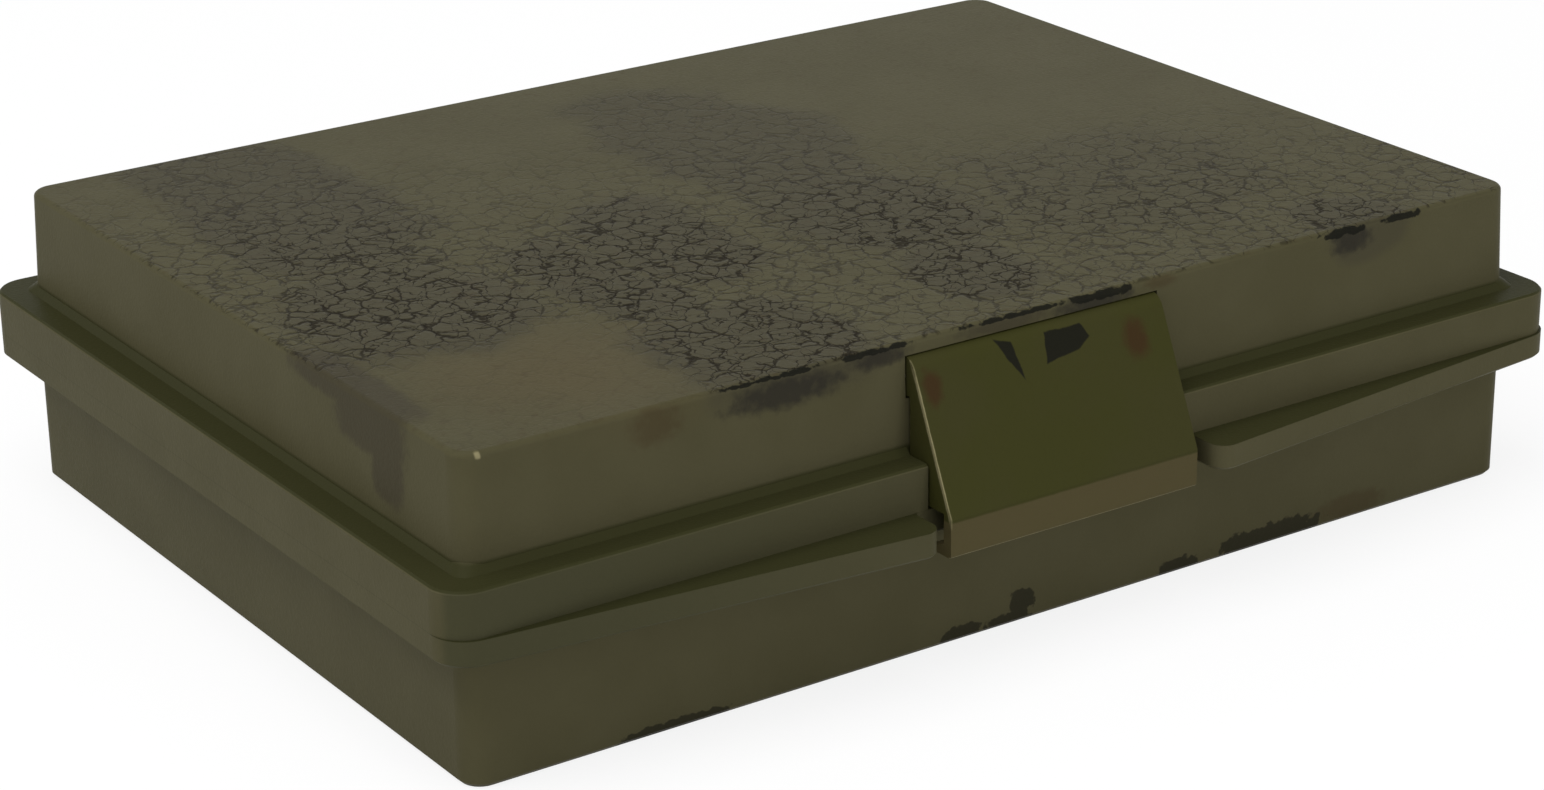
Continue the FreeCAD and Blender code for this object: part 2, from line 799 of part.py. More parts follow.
def make_heavy_cruiser():
    """Four-hole ship with two turrets, a bridge and a funnel."""
    upperworks = [bridge(0), funnel(0), turret(grid_pitch, 1), turret(-grid_pitch, -1)]
    body = make_hull(heavy_cruiser_holes).fuse(upperworks)
    return finish_ship(body, heavy_cruiser_holes, ship_hull_height)


def make_light_cruiser():
    """Three-hole ship with one forward turret, a bridge and a funnel."""
    bridge_x = -grid_pitch / 2
    upperworks = [bridge(bridge_x), funnel(bridge_x), turret(grid_pitch / 2, 1)]
    body = make_hull(light_cruiser_holes).fuse(upperworks)
    return finish_ship(body, light_cruiser_holes, ship_hull_height)


def make_submarine():
    """Three-hole boat with a bulged hull, a narrow deck, a fin and a periscope."""
    length = ship_length(submarine_holes)
    keel = hull_ring(length - keel_length_loss, submarine_deck_beam, 0, True)
    bulge = hull_ring(length, ship_beam, ship_hull_height / 2, True)
    deck = hull_ring(length - keel_length_loss, submarine_deck_beam, ship_hull_height, True)
    lower = flat_faced(keel, bulge)
    upper = flat_faced(bulge, deck)
    fin_x = grid_pitch / 2
    fin = deck_house(fin_x, fin_length, fin_width, fin_height, ship_hull_height)
    body = lower.fuse([upper, fin, mast(fin_x, 0, ship_hull_height + fin_height)])
    return finish_ship(body, submarine_holes, ship_hull_height)


def make_patrol_boat():
    """Two-hole boat with a wheelhouse and a mast between its holes."""
    mast_x = -bridge_length / 2 + 2 * mast_radius
    body = make_hull(patrol_boat_holes).fuse([bridge(0), mast(mast_x, 0, ship_hull_height + bridge_height)])
    return finish_ship(body, patrol_boat_holes, ship_hull_height)


def moor(ship, holes, column, row, along_y):
    """Stands a ship on the fleet board with its stern hole over a grid hole."""
    if along_y:
        ship.rotate(Vector(0, 0, 0), Vector(0, 0, 1), 90)
    half = (holes - 1) / 2 * grid_pitch
    along = Vector(0, half, seat_gap) if along_y else Vector(half, 0, seat_gap)
    ship.translate(grid_place(column, row, fleet_centre) + along)
    return ship


hit_squares = ("G3", "G4", "G5", "C8", "D8")
miss_squares = ("I1", "D2", "G6", "B6", "H9", "E10", "I4")
front_well, rear_well = well_spans()

pieces = {
    "base_shell": make_base_shell(),
    "lid_shell": make_lid_shell(),
    "front_latch": make_front_latch(),
    "latch_pin": make_latch_pin(),
    "hinge_pin_left": make_hinge_pin(-1),
    "hinge_pin_right": make_hinge_pin(1),
    "fleet_board": make_fleet_board(),
    "fleet_board_screws": make_screws(fleet_screw_places(), fleet_board_top, -1),
    "target_board": make_target_board(),
    "target_board_screws": make_screws(target_screw_places(), target_board_face, 1),
    "peg_box": make_peg_box(),
    "red_peg_door": make_red_peg_door(),
    "white_peg_door": make_white_peg_door(),
    "red_pegs": make_stored_pegs(*front_well),
    "white_pegs": make_stored_pegs(*rear_well),
    "hit_markers": make_marker_pegs(hit_squares),
    "miss_markers": make_marker_pegs(miss_squares),
    "carrier": moor(make_carrier(), carrier_holes, column=1, row=7, along_y=False),
    "heavy_cruiser": moor(make_heavy_cruiser(), heavy_cruiser_holes, column=8, row=3, along_y=True),
    "light_cruiser": moor(make_light_cruiser(), light_cruiser_holes, column=3, row=4, along_y=False),
    "submarine": moor(make_submarine(), submarine_holes, column=1, row=2, along_y=True),
    "patrol_boat": moor(make_patrol_boat(), patrol_boat_holes, column=5, row=1, along_y=False),
}

os.makedirs("parts", exist_ok=True)
for name, shape in pieces.items():
    shape.exportStep(f"parts/{name}.step")
    state = "valid" if shape.isValid() else "INVALID"
    print(name, len(shape.Solids), "solids", round(shape.Volume), "mm3", state)
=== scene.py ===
"""Looks of the fleet guessing case: worn olive paint outside, pegged boards, ships and pegs inside."""

import logging
import math
from dataclasses import dataclass
from enum import Enum
from typing import Sequence, Union

import bmesh
import bpy
import numpy as np
from mathutils import Matrix, Vector


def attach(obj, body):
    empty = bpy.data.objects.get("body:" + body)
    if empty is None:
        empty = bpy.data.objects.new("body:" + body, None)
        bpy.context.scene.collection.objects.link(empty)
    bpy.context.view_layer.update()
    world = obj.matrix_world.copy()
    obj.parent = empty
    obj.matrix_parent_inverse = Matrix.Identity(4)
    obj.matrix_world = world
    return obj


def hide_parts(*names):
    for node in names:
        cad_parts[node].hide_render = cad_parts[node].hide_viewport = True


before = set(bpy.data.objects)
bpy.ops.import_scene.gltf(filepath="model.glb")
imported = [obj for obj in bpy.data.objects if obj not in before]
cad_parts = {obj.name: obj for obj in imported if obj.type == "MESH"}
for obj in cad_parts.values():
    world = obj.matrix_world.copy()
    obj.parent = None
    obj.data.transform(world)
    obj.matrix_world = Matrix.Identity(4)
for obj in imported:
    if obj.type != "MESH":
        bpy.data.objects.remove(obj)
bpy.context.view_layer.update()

log = logging.getLogger("fleet_case")

# Kinds of values
Socket = bpy.types.NodeSocket
Material = bpy.types.Material
Feed = Union[Socket, float, Sequence[float]]
Feeds = dict[Union[int, str], Feed]
Pair = tuple[float, float]
Triple = tuple[float, float, float]
Colour = tuple[float, float, float, float]
Levels = Sequence[tuple[np.ndarray, float]]

# Units, turns and shapes that several pieces share, with lengths in millimetres
MM = 0.001
WELD = 0.001 * MM
SHARP_EDGE = math.radians(35)
QUARTER_TURN = math.radians(90)
FACE_UP = np.eye(3)
FACE_DOWN = np.diag([1.0, -1.0, -1.0])
SQUARE = np.array([(-1, -1), (1, -1), (1, 1), (-1, 1)])
NOISE_MIDDLE = (0.5, 0.5, 0.5)
GRID_COUNT = 10
GRID_PITCH = 13.0
FLEET_BOARD_X = -24.7
TARGET_FACE_Z = 40.0
SMALL_BEVEL = 0.12


def linear(red: float, green: float, blue: float) -> Colour:
    """Turns a colour as a screen shows it, 0 to 255, into Blender's linear colour, by the sRGB curve.

    Args:
        red: Red part.
        green: Green part.
        blue: Blue part.

    Returns:
        The linear colour with full alpha.
    """
    parts = np.array([red, green, blue]) / 255.0
    mixed = np.where(parts <= 0.04045, parts / 12.92, ((parts + 0.055) / 1.055) ** 2.4)
    return (*(float(part) for part in mixed), 1.0)


@dataclass
class Bench:
    """Adds and links nodes in one node tree."""

    tree: bpy.types.NodeTree

    @classmethod
    def on_material(cls, name: str) -> tuple[Material, "Bench", bpy.types.Node]:
        """Starts a material.

        Args:
            name: Material's name.

        Returns:
            The material, a bench on it, and its shader.
        """
        made = bpy.data.materials.new(name)
        made.use_nodes = True
        return made, cls(made.node_tree), made.node_tree.nodes["Principled BSDF"]

    def fill(self, node: bpy.types.Node, feeds: Feeds) -> None:
        """Links sockets into a node's inputs, or sets the inputs' own values.

        Args:
            node: The node.
            feeds: Sockets or values, by the inputs' names or numbers.
        """
        for label, value in feeds.items():
            if isinstance(value, bpy.types.NodeSocket):
                self.tree.links.new(value, node.inputs[label])
            else:
                node.inputs[label].default_value = value

    def add(self, kind: str, feeds: Feeds, **settings: object) -> bpy.types.Node:
        """Adds a node.

        Args:
            kind: Blender's name for the node, without its ShaderNode prefix.
            feeds: Sockets or values, by the inputs' names or numbers.
            settings: Properties of the node.

        Returns:
            The new node.
        """
        node = self.tree.nodes.new("ShaderNode" + kind)
        for name, value in settings.items():
            setattr(node, name, value)
        self.fill(node, feeds)
        return node

    def math(self, operation: str, *values: Feed) -> Socket:
        """Result of a Math node."""
        return self.add("Math", dict(enumerate(values)), operation=operation).outputs[0]

    def times(self, first: Feed, second: Feed) -> Socket:
        """Product of two numbers."""
        return self.math("MULTIPLY", first, second)

    def vector(self, operation: str, *vectors: Feed) -> Socket:
        """Result of a Vector Math node, a number for a length or a dot product."""
        node = self.add("VectorMath", dict(enumerate(vectors)), operation=operation)
        return node.outputs["Value" if operation in ("LENGTH", "DOT_PRODUCT") else "Vector"]

    def scaled(self, vector: Feed, factor: Feed) -> Socket:
        """Product of a vector and a number."""
        return self.add("VectorMath", {0: vector, "Scale": factor}, operation="SCALE").outputs["Vector"]

    def parts(self, vector: Feed) -> bpy.types.NodeOutputs:
        """The three parts of a vector."""
        return self.add("SeparateXYZ", {0: vector}).outputs

    def step(self, value: Feed, low: Feed, high: Feed, start: float = 0.0, end: float = 1.0) -> Socket:
        """Runs smoothly from start to end while the value goes from low to high."""
        feeds = {"Value": value, "From Min": low, "From Max": high, "To Min": start, "To Max": end}
        return self.add("MapRange", feeds, interpolation_type="SMOOTHSTEP").outputs["Result"]

    def blend(self, factor: Feed, first: Feed, second: Feed) -> Socket:
        """Mixes two colours, where the factor is the second one's share."""
        return self.add("MixRGB", {"Fac": factor, "Color1": first, "Color2": second}).outputs["Color"]

    def noise(self, point: Feed, scale: Feed, detail: float) -> bpy.types.NodeOutputs:
        """Noise whose scale counts features per unit of the point."""
        return self.add("TexNoise", {"Vector": point, "Scale": scale, "Detail": detail}).outputs

    def centred_noise(self, point: Feed, scale: Feed, detail: float) -> Socket:
        """Noise in three parts, each round nought."""
        return self.vector("SUBTRACT", self.noise(point, scale, detail)["Color"], NOISE_MIDDLE)

    def millimetres(self) -> Socket:
        """Place on the piece in millimetres."""
        return self.scaled(self.add("TexCoord", {}).outputs["Object"], 1 / MM)

    def relief(self, height: Feed) -> Socket:
        """Surface direction of fine relief, from heights in millimetres."""
        return self.add("Bump", {"Distance": MM, "Height": height}).outputs["Normal"]


def new_group(
    name: str, vectors: Sequence[str], values: Sequence[str], results: Sequence[str]
) -> tuple[Bench, dict[str, Socket], bpy.types.Node]:
    """Starts a shader node group.

    Args:
        name: Group's name.
        vectors: Names of its vector inputs.
        values: Names of its number inputs.
        results: Names of its number outputs.

    Returns:
        A bench on the group, its inputs by name, and the node that takes its results.
    """
    group = bpy.data.node_groups.new(name, "ShaderNodeTree")
    sockets = [(label, "INPUT", "Vector") for label in vectors]
    sockets += [(label, "INPUT", "Float") for label in values]
    sockets += [(label, "OUTPUT", "Float") for label in results]
    for label, way, kind in sockets:
        group.interface.new_socket(name=label, in_out=way, socket_type="NodeSocket" + kind)
    start = group.nodes.new("NodeGroupInput")
    given = {label: start.outputs[label] for label in (*vectors, *values)}
    return Bench(group), given, group.nodes.new("NodeGroupOutput")


def ragged_patch() -> bpy.types.NodeTree:
    """Group that masks a patch with a ragged edge.

    The mask falls where the reach of (point - centre) / half size, shaken by noise, passes one. The reach
    is the vector's length, or its largest part for a boxy patch.

    Returns:
        The group.
    """
    vectors = ("Point", "Centre", "Half Size", "Shake")
    bench, given, end = new_group("ragged_patch", vectors, ("Raggedness", "Softness", "Boxiness"), ("Mask",))
    offset = bench.vector("SUBTRACT", given["Point"], given["Centre"])
    away = bench.vector("DIVIDE", offset, given["Half Size"])
    shaken = bench.vector("ADD", away, bench.scaled(given["Shake"], given["Raggedness"]))
    x, y, z = bench.parts(bench.vector("ABSOLUTE", shaken))
    largest = bench.math("MAXIMUM", bench.math("MAXIMUM", x, y), z)
    length = bench.vector("LENGTH", shaken)
    reach = bench.math("ADD", length, bench.times(bench.math("SUBTRACT", largest, length), given["Boxiness"]))
    inner = bench.math("SUBTRACT", 1.0, given["Softness"])
    outer = bench.math("ADD", 1.0, given["Softness"])
    bench.fill(end, {"Mask": bench.step(reach, inner, outer, 1.0, 0.0)})
    return bench.tree


def crackle() -> bpy.types.NodeTree:
    """Group that draws dried-out paint: wavy cracks round small islands, broken here and there.

    Crack is one within a line's width of the border between Voronoi cells, and Island rises from that border.
    Noise bends the borders, changes the width, and breaks the lines.

    Returns:
        The group.
    """
    bend_scale, bend_reach = 0.3, 3.2
    break_scale, broken_below, whole_above = 0.35, 0.34, 0.6
    thinnest, widest = 0.1, 1.3
    core, island_foot = 0.3, 1.6
    bench, given, end = new_group("crackle", ("Point",), ("Cell", "Width"), ("Crack", "Island"))
    point, cell = given["Point"], given["Cell"]
    bend = bench.scaled(bench.centred_noise(point, bend_scale, detail=3.0), bend_reach)
    bent = bench.vector("ADD", point, bend)
    in_cells = bench.scaled(bent, bench.math("DIVIDE", 1.0, cell))
    cells = bench.add("TexVoronoi", {"Vector": in_cells, "Scale": 1.0}, feature="DISTANCE_TO_EDGE")
    gap = bench.times(cells.outputs["Distance"], cell)
    loose = bench.noise(point, break_scale, detail=2.0)["Fac"]
    width = bench.times(given["Width"], bench.step(loose, broken_below, whole_above, thinnest, widest))
    line = bench.step(gap, bench.times(width, core), width, 1.0, 0.0)
    bench.fill(end, {"Crack": line, "Island": bench.step(gap, 0.0, bench.times(width, island_foot))})
    return bench.tree


def moulded_skin() -> bpy.types.NodeTree:
    """Group for the skin of moulded plastic.

    Tone wanders slowly over the piece, Speck is a fine spark-eroded grain, and Scuff marks thin rubbed
    streaks along the direction that the stretch makes long.

    Returns:
        The group.
    """
    tone_scale, tone_limits, scuff_limits = 0.06, (0.3, 0.7), (0.6, 0.72)
    results = ("Tone", "Speck", "Scuff")
    bench, given, end = new_group("moulded_skin", ("Point", "Stretch"), ("Grain",), results)
    drawn = bench.vector("MULTIPLY", given["Point"], given["Stretch"])
    bench.fill(end, {
        "Tone": bench.step(bench.noise(given["Point"], tone_scale, detail=4.0)["Fac"], *tone_limits),
        "Speck": bench.noise(given["Point"], given["Grain"], detail=2.0)["Fac"],
        "Scuff": bench.step(bench.noise(drawn, 1.0, detail=3.0)["Fac"], *scuff_limits),
    })
    return bench.tree


@dataclass
class Effects:
    """The node groups, built once and shared by the finishes."""

    patch: bpy.types.NodeTree
    crackle: bpy.types.NodeTree
    skin: bpy.types.NodeTree

    def skin_on(self, bench: Bench, point: Socket, stretch: Triple, grain: float) -> bpy.types.NodeOutputs:
        """Tone, speck and scuff of a moulded skin, placed in a material."""
        feeds = {"Point": point, "Stretch": stretch, "Grain": grain}
        return bench.add("Group", feeds, node_tree=self.skin).outputs


class MarkKind(Enum):
    """What a mark on the paint is."""

    BLOTCH = "dark camouflage blotch"
    CALM = "area with hardly any cracks"
    FADED = "tan area where the paint has faded"
    RUST = "rusty stain"
    SMEAR = "grey smear where the paint is thin"
    SOOT = "dark grey smear below a chipped edge"
    CHIP = "chip down to the dark plastic"
    # pale bruise; on the latch's edges the same pale coat is rubbed wear and a painted edge highlight
    NICK_AND_HIGHLIGHT = "pale bruise"


class Wall(Enum):
    """Outer wall of the case: the axis that it faces along, and its place on that axis in millimetres."""

    FRONT = (1, -80.0)
    BACK = (1, 79.5)
    RIGHT = (0, 110.0)


# Boxes of marks on a wall, by kind: start and end along the wall, lowest and highest Z
WallMarks = dict[MarkKind, tuple[tuple[float, float, float, float], ...]]


@dataclass
class Ground:
    """Start of every mark in a material: the place on the piece, and broad and fine noise round nought."""

    bench: Bench
    effects: Effects
    point: Socket
    broad: Socket
    fine: Socket

    @classmethod
    def laid(cls, bench: Bench, effects: Effects, waves: Pair = (0.045, 0.55)) -> "Ground":
        """Lays the ground in a material.

        Args:
            bench: Bench on the material.
            effects: The shared groups.
            waves: Waves of the broad and of the fine noise in a millimetre.

        Returns:
            The ground.
        """
        point = bench.millimetres()
        broad, fine = (bench.centred_noise(point, scale, detail=4.0) for scale in waves)
        return cls(bench, effects, point, broad, fine)

    def height(self) -> Socket:
        """Height above the table in millimetres."""
        return self.bench.parts(self.point)["Z"]


@dataclass(frozen=True)
class Mark:
    """Ragged mark on the paint that fills a box, in millimetres."""

    kind: MarkKind
    low: Triple
    high: Triple
    ragged: float = 1.3
    soft: float = 0.07
    boxy: float = 0.6
    broad: bool = False
    lean: float = 0.0
    strength: float = 1.0

    def mask(self, ground: Ground) -> Socket:
        """Places the mark in a material, upright or leaning back with the face that it is on.

        Args:
            ground: The material's ground.

        Returns:
            The mark's mask.
        """
        bench, point = ground.bench, ground.point
        low, high = np.array(self.low), np.array(self.high)
        centre = tuple((low + high) / 2)
        if self.lean:
            feeds = {"Vector": point, "Center": centre, "Angle": math.radians(self.lean)}
            point = bench.add("VectorRotate", feeds, rotation_type="X_AXIS").outputs["Vector"]
        feeds = {
            "Point": point,
            "Centre": centre,
            "Half Size": tuple((high - low) / 2),
            "Shake": ground.broad if self.broad else ground.fine,
            "Raggedness": self.ragged,
            "Softness": self.soft,
            "Boxiness": self.boxy,
        }
        node = bench.add("Group", feeds, node_tree=ground.effects.patch)
        return bench.times(node.outputs["Mask"], self.strength)


@dataclass(frozen=True)
class OutlinedChip:
    """Chip on a face that looks forward, with straight edges and its corners as (X, Z), anticlockwise."""

    kind: MarkKind
    corners: tuple[Pair, ...]
    soft: float = 0.12
    rough: float = 0.5

    def mask(self, ground: Ground) -> Feed:
        """Places the chip in a material: one on the inner side of every edge.

        Args:
            ground: The material's ground.

        Returns:
            The chip's mask.
        """
        bench = ground.bench
        point = bench.vector("ADD", ground.point, bench.scaled(ground.fine, self.rough))
        mask: Feed = 1.0
        for start, end in zip(self.corners, self.corners[1:] + self.corners[:1]):
            run = np.array(end) - np.array(start)
            inward = np.array([-run[1], run[0]]) / np.linalg.norm(run)
            across = bench.vector("DOT_PRODUCT", point, (inward[0], 0.0, inward[1]))
            edge = float(inward @ np.array(start))
            inside = bench.step(across, edge - self.soft, edge + self.soft)
            mask = inside if mask == 1.0 else bench.math("MINIMUM", mask, inside)
        return mask


AnyMark = Union[Mark, OutlinedChip]


@dataclass(frozen=True)
class Coat:
    """Colour of one kind of wear, and how much it hides of what is below it."""

    colour: Colour
    share: float

    def over(self, bench: Bench, mask: Feed, under: Feed) -> Feed:
        """Lays the coat over a colour where a mask says so, and nowhere for a mask of zero."""
        return under if mask == 0.0 else bench.blend(bench.times(mask, self.share), under, self.colour)


@dataclass(frozen=True)
class WornPaint:
    """Satin olive paint on moulded plastic, with blotches, cracks, stains and chips, and painted shade and
    edge highlights where a shell asks for them.
    """

    name: str
    marks: tuple[AnyMark, ...]
    crackled: bool = False
    ledge: Pair = (0.0, 0.0)
    ledge_foot: float = 0.05
    ledge_clear: float = 0.6
    # painted shade on the raised front faces, darkening them to the tone of the walls below
    rim_shaded: bool = False
    rim_shade_depth: Pair = (-84.0, -82.0)
    rim_shade_span: Pair = (-105.0, 20.0)
    olive: Colour = linear(65, 62, 43)
    sunned: Colour = linear(68, 65, 46)
    # colour of the painted shade on the raised front faces
    rim_shade: Coat = Coat(linear(57, 56, 39), 1.0)
    faded: Coat = Coat(linear(71, 64, 43), 0.8)
    blotched: Coat = Coat(linear(59, 56, 42), 0.85)
    speckled: Coat = Coat(linear(50, 36, 20), 0.2)
    smeared: Coat = Coat(linear(53, 49, 37), 0.8)
    sooty: Coat = Coat(linear(37, 35, 30), 0.85)
    rusty: Coat = Coat(linear(50, 36, 20), 0.9)
    # painted shade: the ledge and the foot of the wall above it, darker where shade falls
    ledge_shade: Coat = Coat(linear(44, 44, 24), 0.95)
    chipped: Coat = Coat(linear(21, 21, 16), 0.95)
    # pale bruise, and on the latch's edges a painted edge highlight over rubbed wear
    bruise_and_highlight: Coat = Coat(linear(132, 125, 94), 0.7)
    gloss: float = 0.02
    roughness: float = 0.36
    rough_grain: float = 0.16
    grain: float = 1.6
    grain_height: float = 0.05
    stretch: Triple = (0.05, 0.9, 0.9)
    top_height: float = 55.8
    top_blend: float = 0.5
    speck_way: Triple = (0.7, 0.7, 0.0)
    speck_limits: Pair = (0.03, 0.2)
    crack: Colour = linear(22, 18, 11)
    crack_sizes: tuple[Pair, ...] = ((4.8, 0.32), (3.1, 0.13))
    crack_way: Triple = (0.38, 0.92, 0.0)
    crack_span: Pair = (-32.0, 46.0)
    crack_shares: Pair = (0.5, 0.04)
    blotch_cracks: float = 0.28
    calm_share: float = 0.85
    crack_roughness: float = 0.8
    island_rise: float = 0.7

    def gathered(self, ground: Ground, kind: MarkKind) -> Feed:
        """Joins all marks of a kind into one mask.

        Args:
            ground: The material's ground.
            kind: Which marks.

        Returns:
            The joined mask, or zero where there are none.
        """
        joined: Feed = 0.0
        for mark in self.marks:
            if mark.kind is kind:
                mask = mark.mask(ground)
                joined = mask if joined == 0.0 else ground.bench.math("MAXIMUM", joined, mask)
        return joined

    def ledge_shade_mask(self, ground: Ground) -> Feed:
        """Mask of painted shade on the ledge, fading up the wall behind it.

        Args:
            ground: The material's ground.

        Returns:
            The mask, or zero where the shell has no ledge.
        """
        low, high = self.ledge
        if low == high:
            return 0.0
        bench, height = ground.bench, ground.height()
        foot = bench.step(height, low - self.ledge_foot, low)
        wall = bench.step(height, low + self.ledge_clear * (high - low), high, 1.0, 0.0)
        return bench.times(foot, wall)

    def rim_shade_mask(self, ground: Ground) -> Feed:
        """Mask of painted shade that darkens the front faces standing out from the walls.

        Args:
            ground: The material's ground.

        Returns:
            The mask, strongest at the left, or zero where the shell has no painted shade there.
        """
        if not self.rim_shaded:
            return 0.0
        bench = ground.bench
        parts = bench.parts(ground.point)
        outside = bench.step(parts["Y"], *self.rim_shade_depth, 1.0, 0.0)
        leftward = bench.step(parts["X"], *self.rim_shade_span, 1.0, 0.0)
        return bench.times(outside, leftward)

    def top_mask(self, ground: Ground) -> Socket:
        """Mask of the lid's top."""
        return ground.bench.step(ground.height(), self.top_height, self.top_height + self.top_blend)

    def speckle(self, ground: Ground) -> Feed:
        """Mask of the faint brown specks that are scattered over a crackled top.

        Args:
            ground: The material's ground.

        Returns:
            The mask, or zero where the shell isn't crackled.
        """
        if not self.crackled:
            return 0.0
        bench = ground.bench
        sparse = bench.step(bench.vector("DOT_PRODUCT", ground.fine, self.speck_way), *self.speck_limits)
        return bench.times(sparse, self.top_mask(ground))

    def crack_share(self, ground: Ground, dark: Feed, calm: Feed) -> Socket:
        """How cracked the top is: most at the front left and in the dark blotches, hardly at the back right.

        Args:
            ground: The material's ground.
            dark: Mask of the blotches.
            calm: Mask of the areas with few cracks.

        Returns:
            Share from zero to one.
        """
        bench = ground.bench
        across = bench.vector("DOT_PRODUCT", ground.point, self.crack_way)
        fading = bench.step(across, *self.crack_span, *self.crack_shares)
        share = bench.math("ADD", fading, bench.times(dark, self.blotch_cracks))
        left = bench.math("SUBTRACT", 1.0, bench.times(calm, self.calm_share))
        return bench.times(bench.times(share, self.top_mask(ground)), left)

    def material(self, effects: Effects) -> Material:
        """Builds the paint, one coat over the other, with cracks above the stains and the painted shade, and
        below the chips and the pale marks.

        Args:
            effects: The shared groups.

        Returns:
            The material.
        """
        made, bench, shader = Bench.on_material(self.name)
        ground = Ground.laid(bench, effects)
        point = ground.point
        skin = effects.skin_on(bench, point, self.stretch, self.grain)
        masks = {kind: self.gathered(ground, kind) for kind in MarkKind}
        # real stains, with painted shade on the raised front faces and on the ledge
        stains_and_shade = (
            # painted shade on the raised front faces
            (self.rim_shade, self.rim_shade_mask(ground)),
            (self.faded, masks[MarkKind.FADED]),
            (self.blotched, masks[MarkKind.BLOTCH]),
            (self.speckled, self.speckle(ground)),
            (self.smeared, masks[MarkKind.SMEAR]),
            (self.sooty, masks[MarkKind.SOOT]),
            (self.rusty, masks[MarkKind.RUST]),
            # painted shade on the ledge
            (self.ledge_shade, self.ledge_shade_mask(ground)),
        )
        colour: Feed = bench.blend(skin["Tone"], self.olive, self.sunned)
        for coat, mask in stains_and_shade:
            colour = coat.over(bench, mask, colour)
        height = bench.times(skin["Speck"], self.grain_height)
        rough = bench.math("MULTIPLY_ADD", skin["Speck"], self.rough_grain, self.roughness)
        if self.crackled:
            share = self.crack_share(ground, masks[MarkKind.BLOTCH], masks[MarkKind.CALM])
            for cell, width in self.crack_sizes:
                feeds = {"Point": point, "Cell": cell, "Width": width}
                cracks = bench.add("Group", feeds, node_tree=effects.crackle).outputs
                drawn = bench.times(cracks["Crack"], share)
                colour = bench.blend(drawn, colour, self.crack)
                island = bench.times(bench.times(cracks["Island"], share), width)
                height = bench.math("ADD", height, bench.times(island, self.island_rise))
                rough = bench.math("MAXIMUM", rough, bench.times(drawn, self.crack_roughness))
        colour = self.chipped.over(bench, masks[MarkKind.CHIP], colour)
        colour = self.bruise_and_highlight.over(bench, masks[MarkKind.NICK_AND_HIGHLIGHT], colour)
        bench.fill(shader, {
            "Base Color": colour,
            "Roughness": rough,
            "Normal": bench.relief(height),
            "Specular IOR Level": self.gloss,
        })
        return made


@dataclass(frozen=True)
class MouldedPlastic:
    """Plain moulded plastic with a fine grain, a wandering tone and rubbed streaks, in screen colours."""

    name: str
    colour: Triple
    toned: Triple
    rubbed: Triple
    roughness: float = 0.4
    grain: float = 2.0
    grain_height: float = 0.02
    stretch: Triple = (0.6, 0.6, 0.6)
    scuffed: float = 0.25
    rough_grain: float = 0.12

    def material(self, effects: Effects) -> Material:
        """Builds the plastic.

        Args:
            effects: The shared groups.

        Returns:
            The material.
        """
        made, bench, shader = Bench.on_material(self.name)
        skin = effects.skin_on(bench, bench.millimetres(), self.stretch, self.grain)
        scuff = bench.times(skin["Scuff"], self.scuffed)
        colour = bench.blend(skin["Tone"], linear(*self.colour), linear(*self.toned))
        smoothest = self.roughness - self.rough_grain / 2
        rough = bench.math("ADD", bench.times(skin["Speck"], self.rough_grain), smoothest)
        bench.fill(shader, {
            "Base Color": bench.blend(scuff, colour, linear(*self.rubbed)),
            "Roughness": bench.math("ADD", rough, scuff),
            "Normal": bench.relief(bench.times(skin["Speck"], self.grain_height)),
        })
        return made


@dataclass(frozen=True)
class DrawnSteel:
    """Bright steel with fine drawing lines and a few dull spots."""

    name: str
    colour: Colour = (0.55, 0.55, 0.56, 1.0)
    stretch: Triple = (0.08, 6.0, 6.0)
    dull: Colour = (0.3, 0.29, 0.28, 1.0)
    dull_share: float = 0.6
    roughness: float = 0.28
    dull_roughness: float = 0.3
    grain: float = 3.0

    def material(self, effects: Effects) -> Material:
        """Builds the steel.

        Args:
            effects: The shared groups.

        Returns:
            The material.
        """
        made, bench, shader = Bench.on_material(self.name)
        skin = effects.skin_on(bench, bench.millimetres(), self.stretch, self.grain)
        worn = bench.times(skin["Scuff"], self.dull_share)
        bench.fill(shader, {
            "Metallic": 1.0,
            "Base Color": bench.blend(worn, self.colour, self.dull),
            "Roughness": bench.math("ADD", bench.times(worn, self.dull_roughness), self.roughness),
        })
        return made


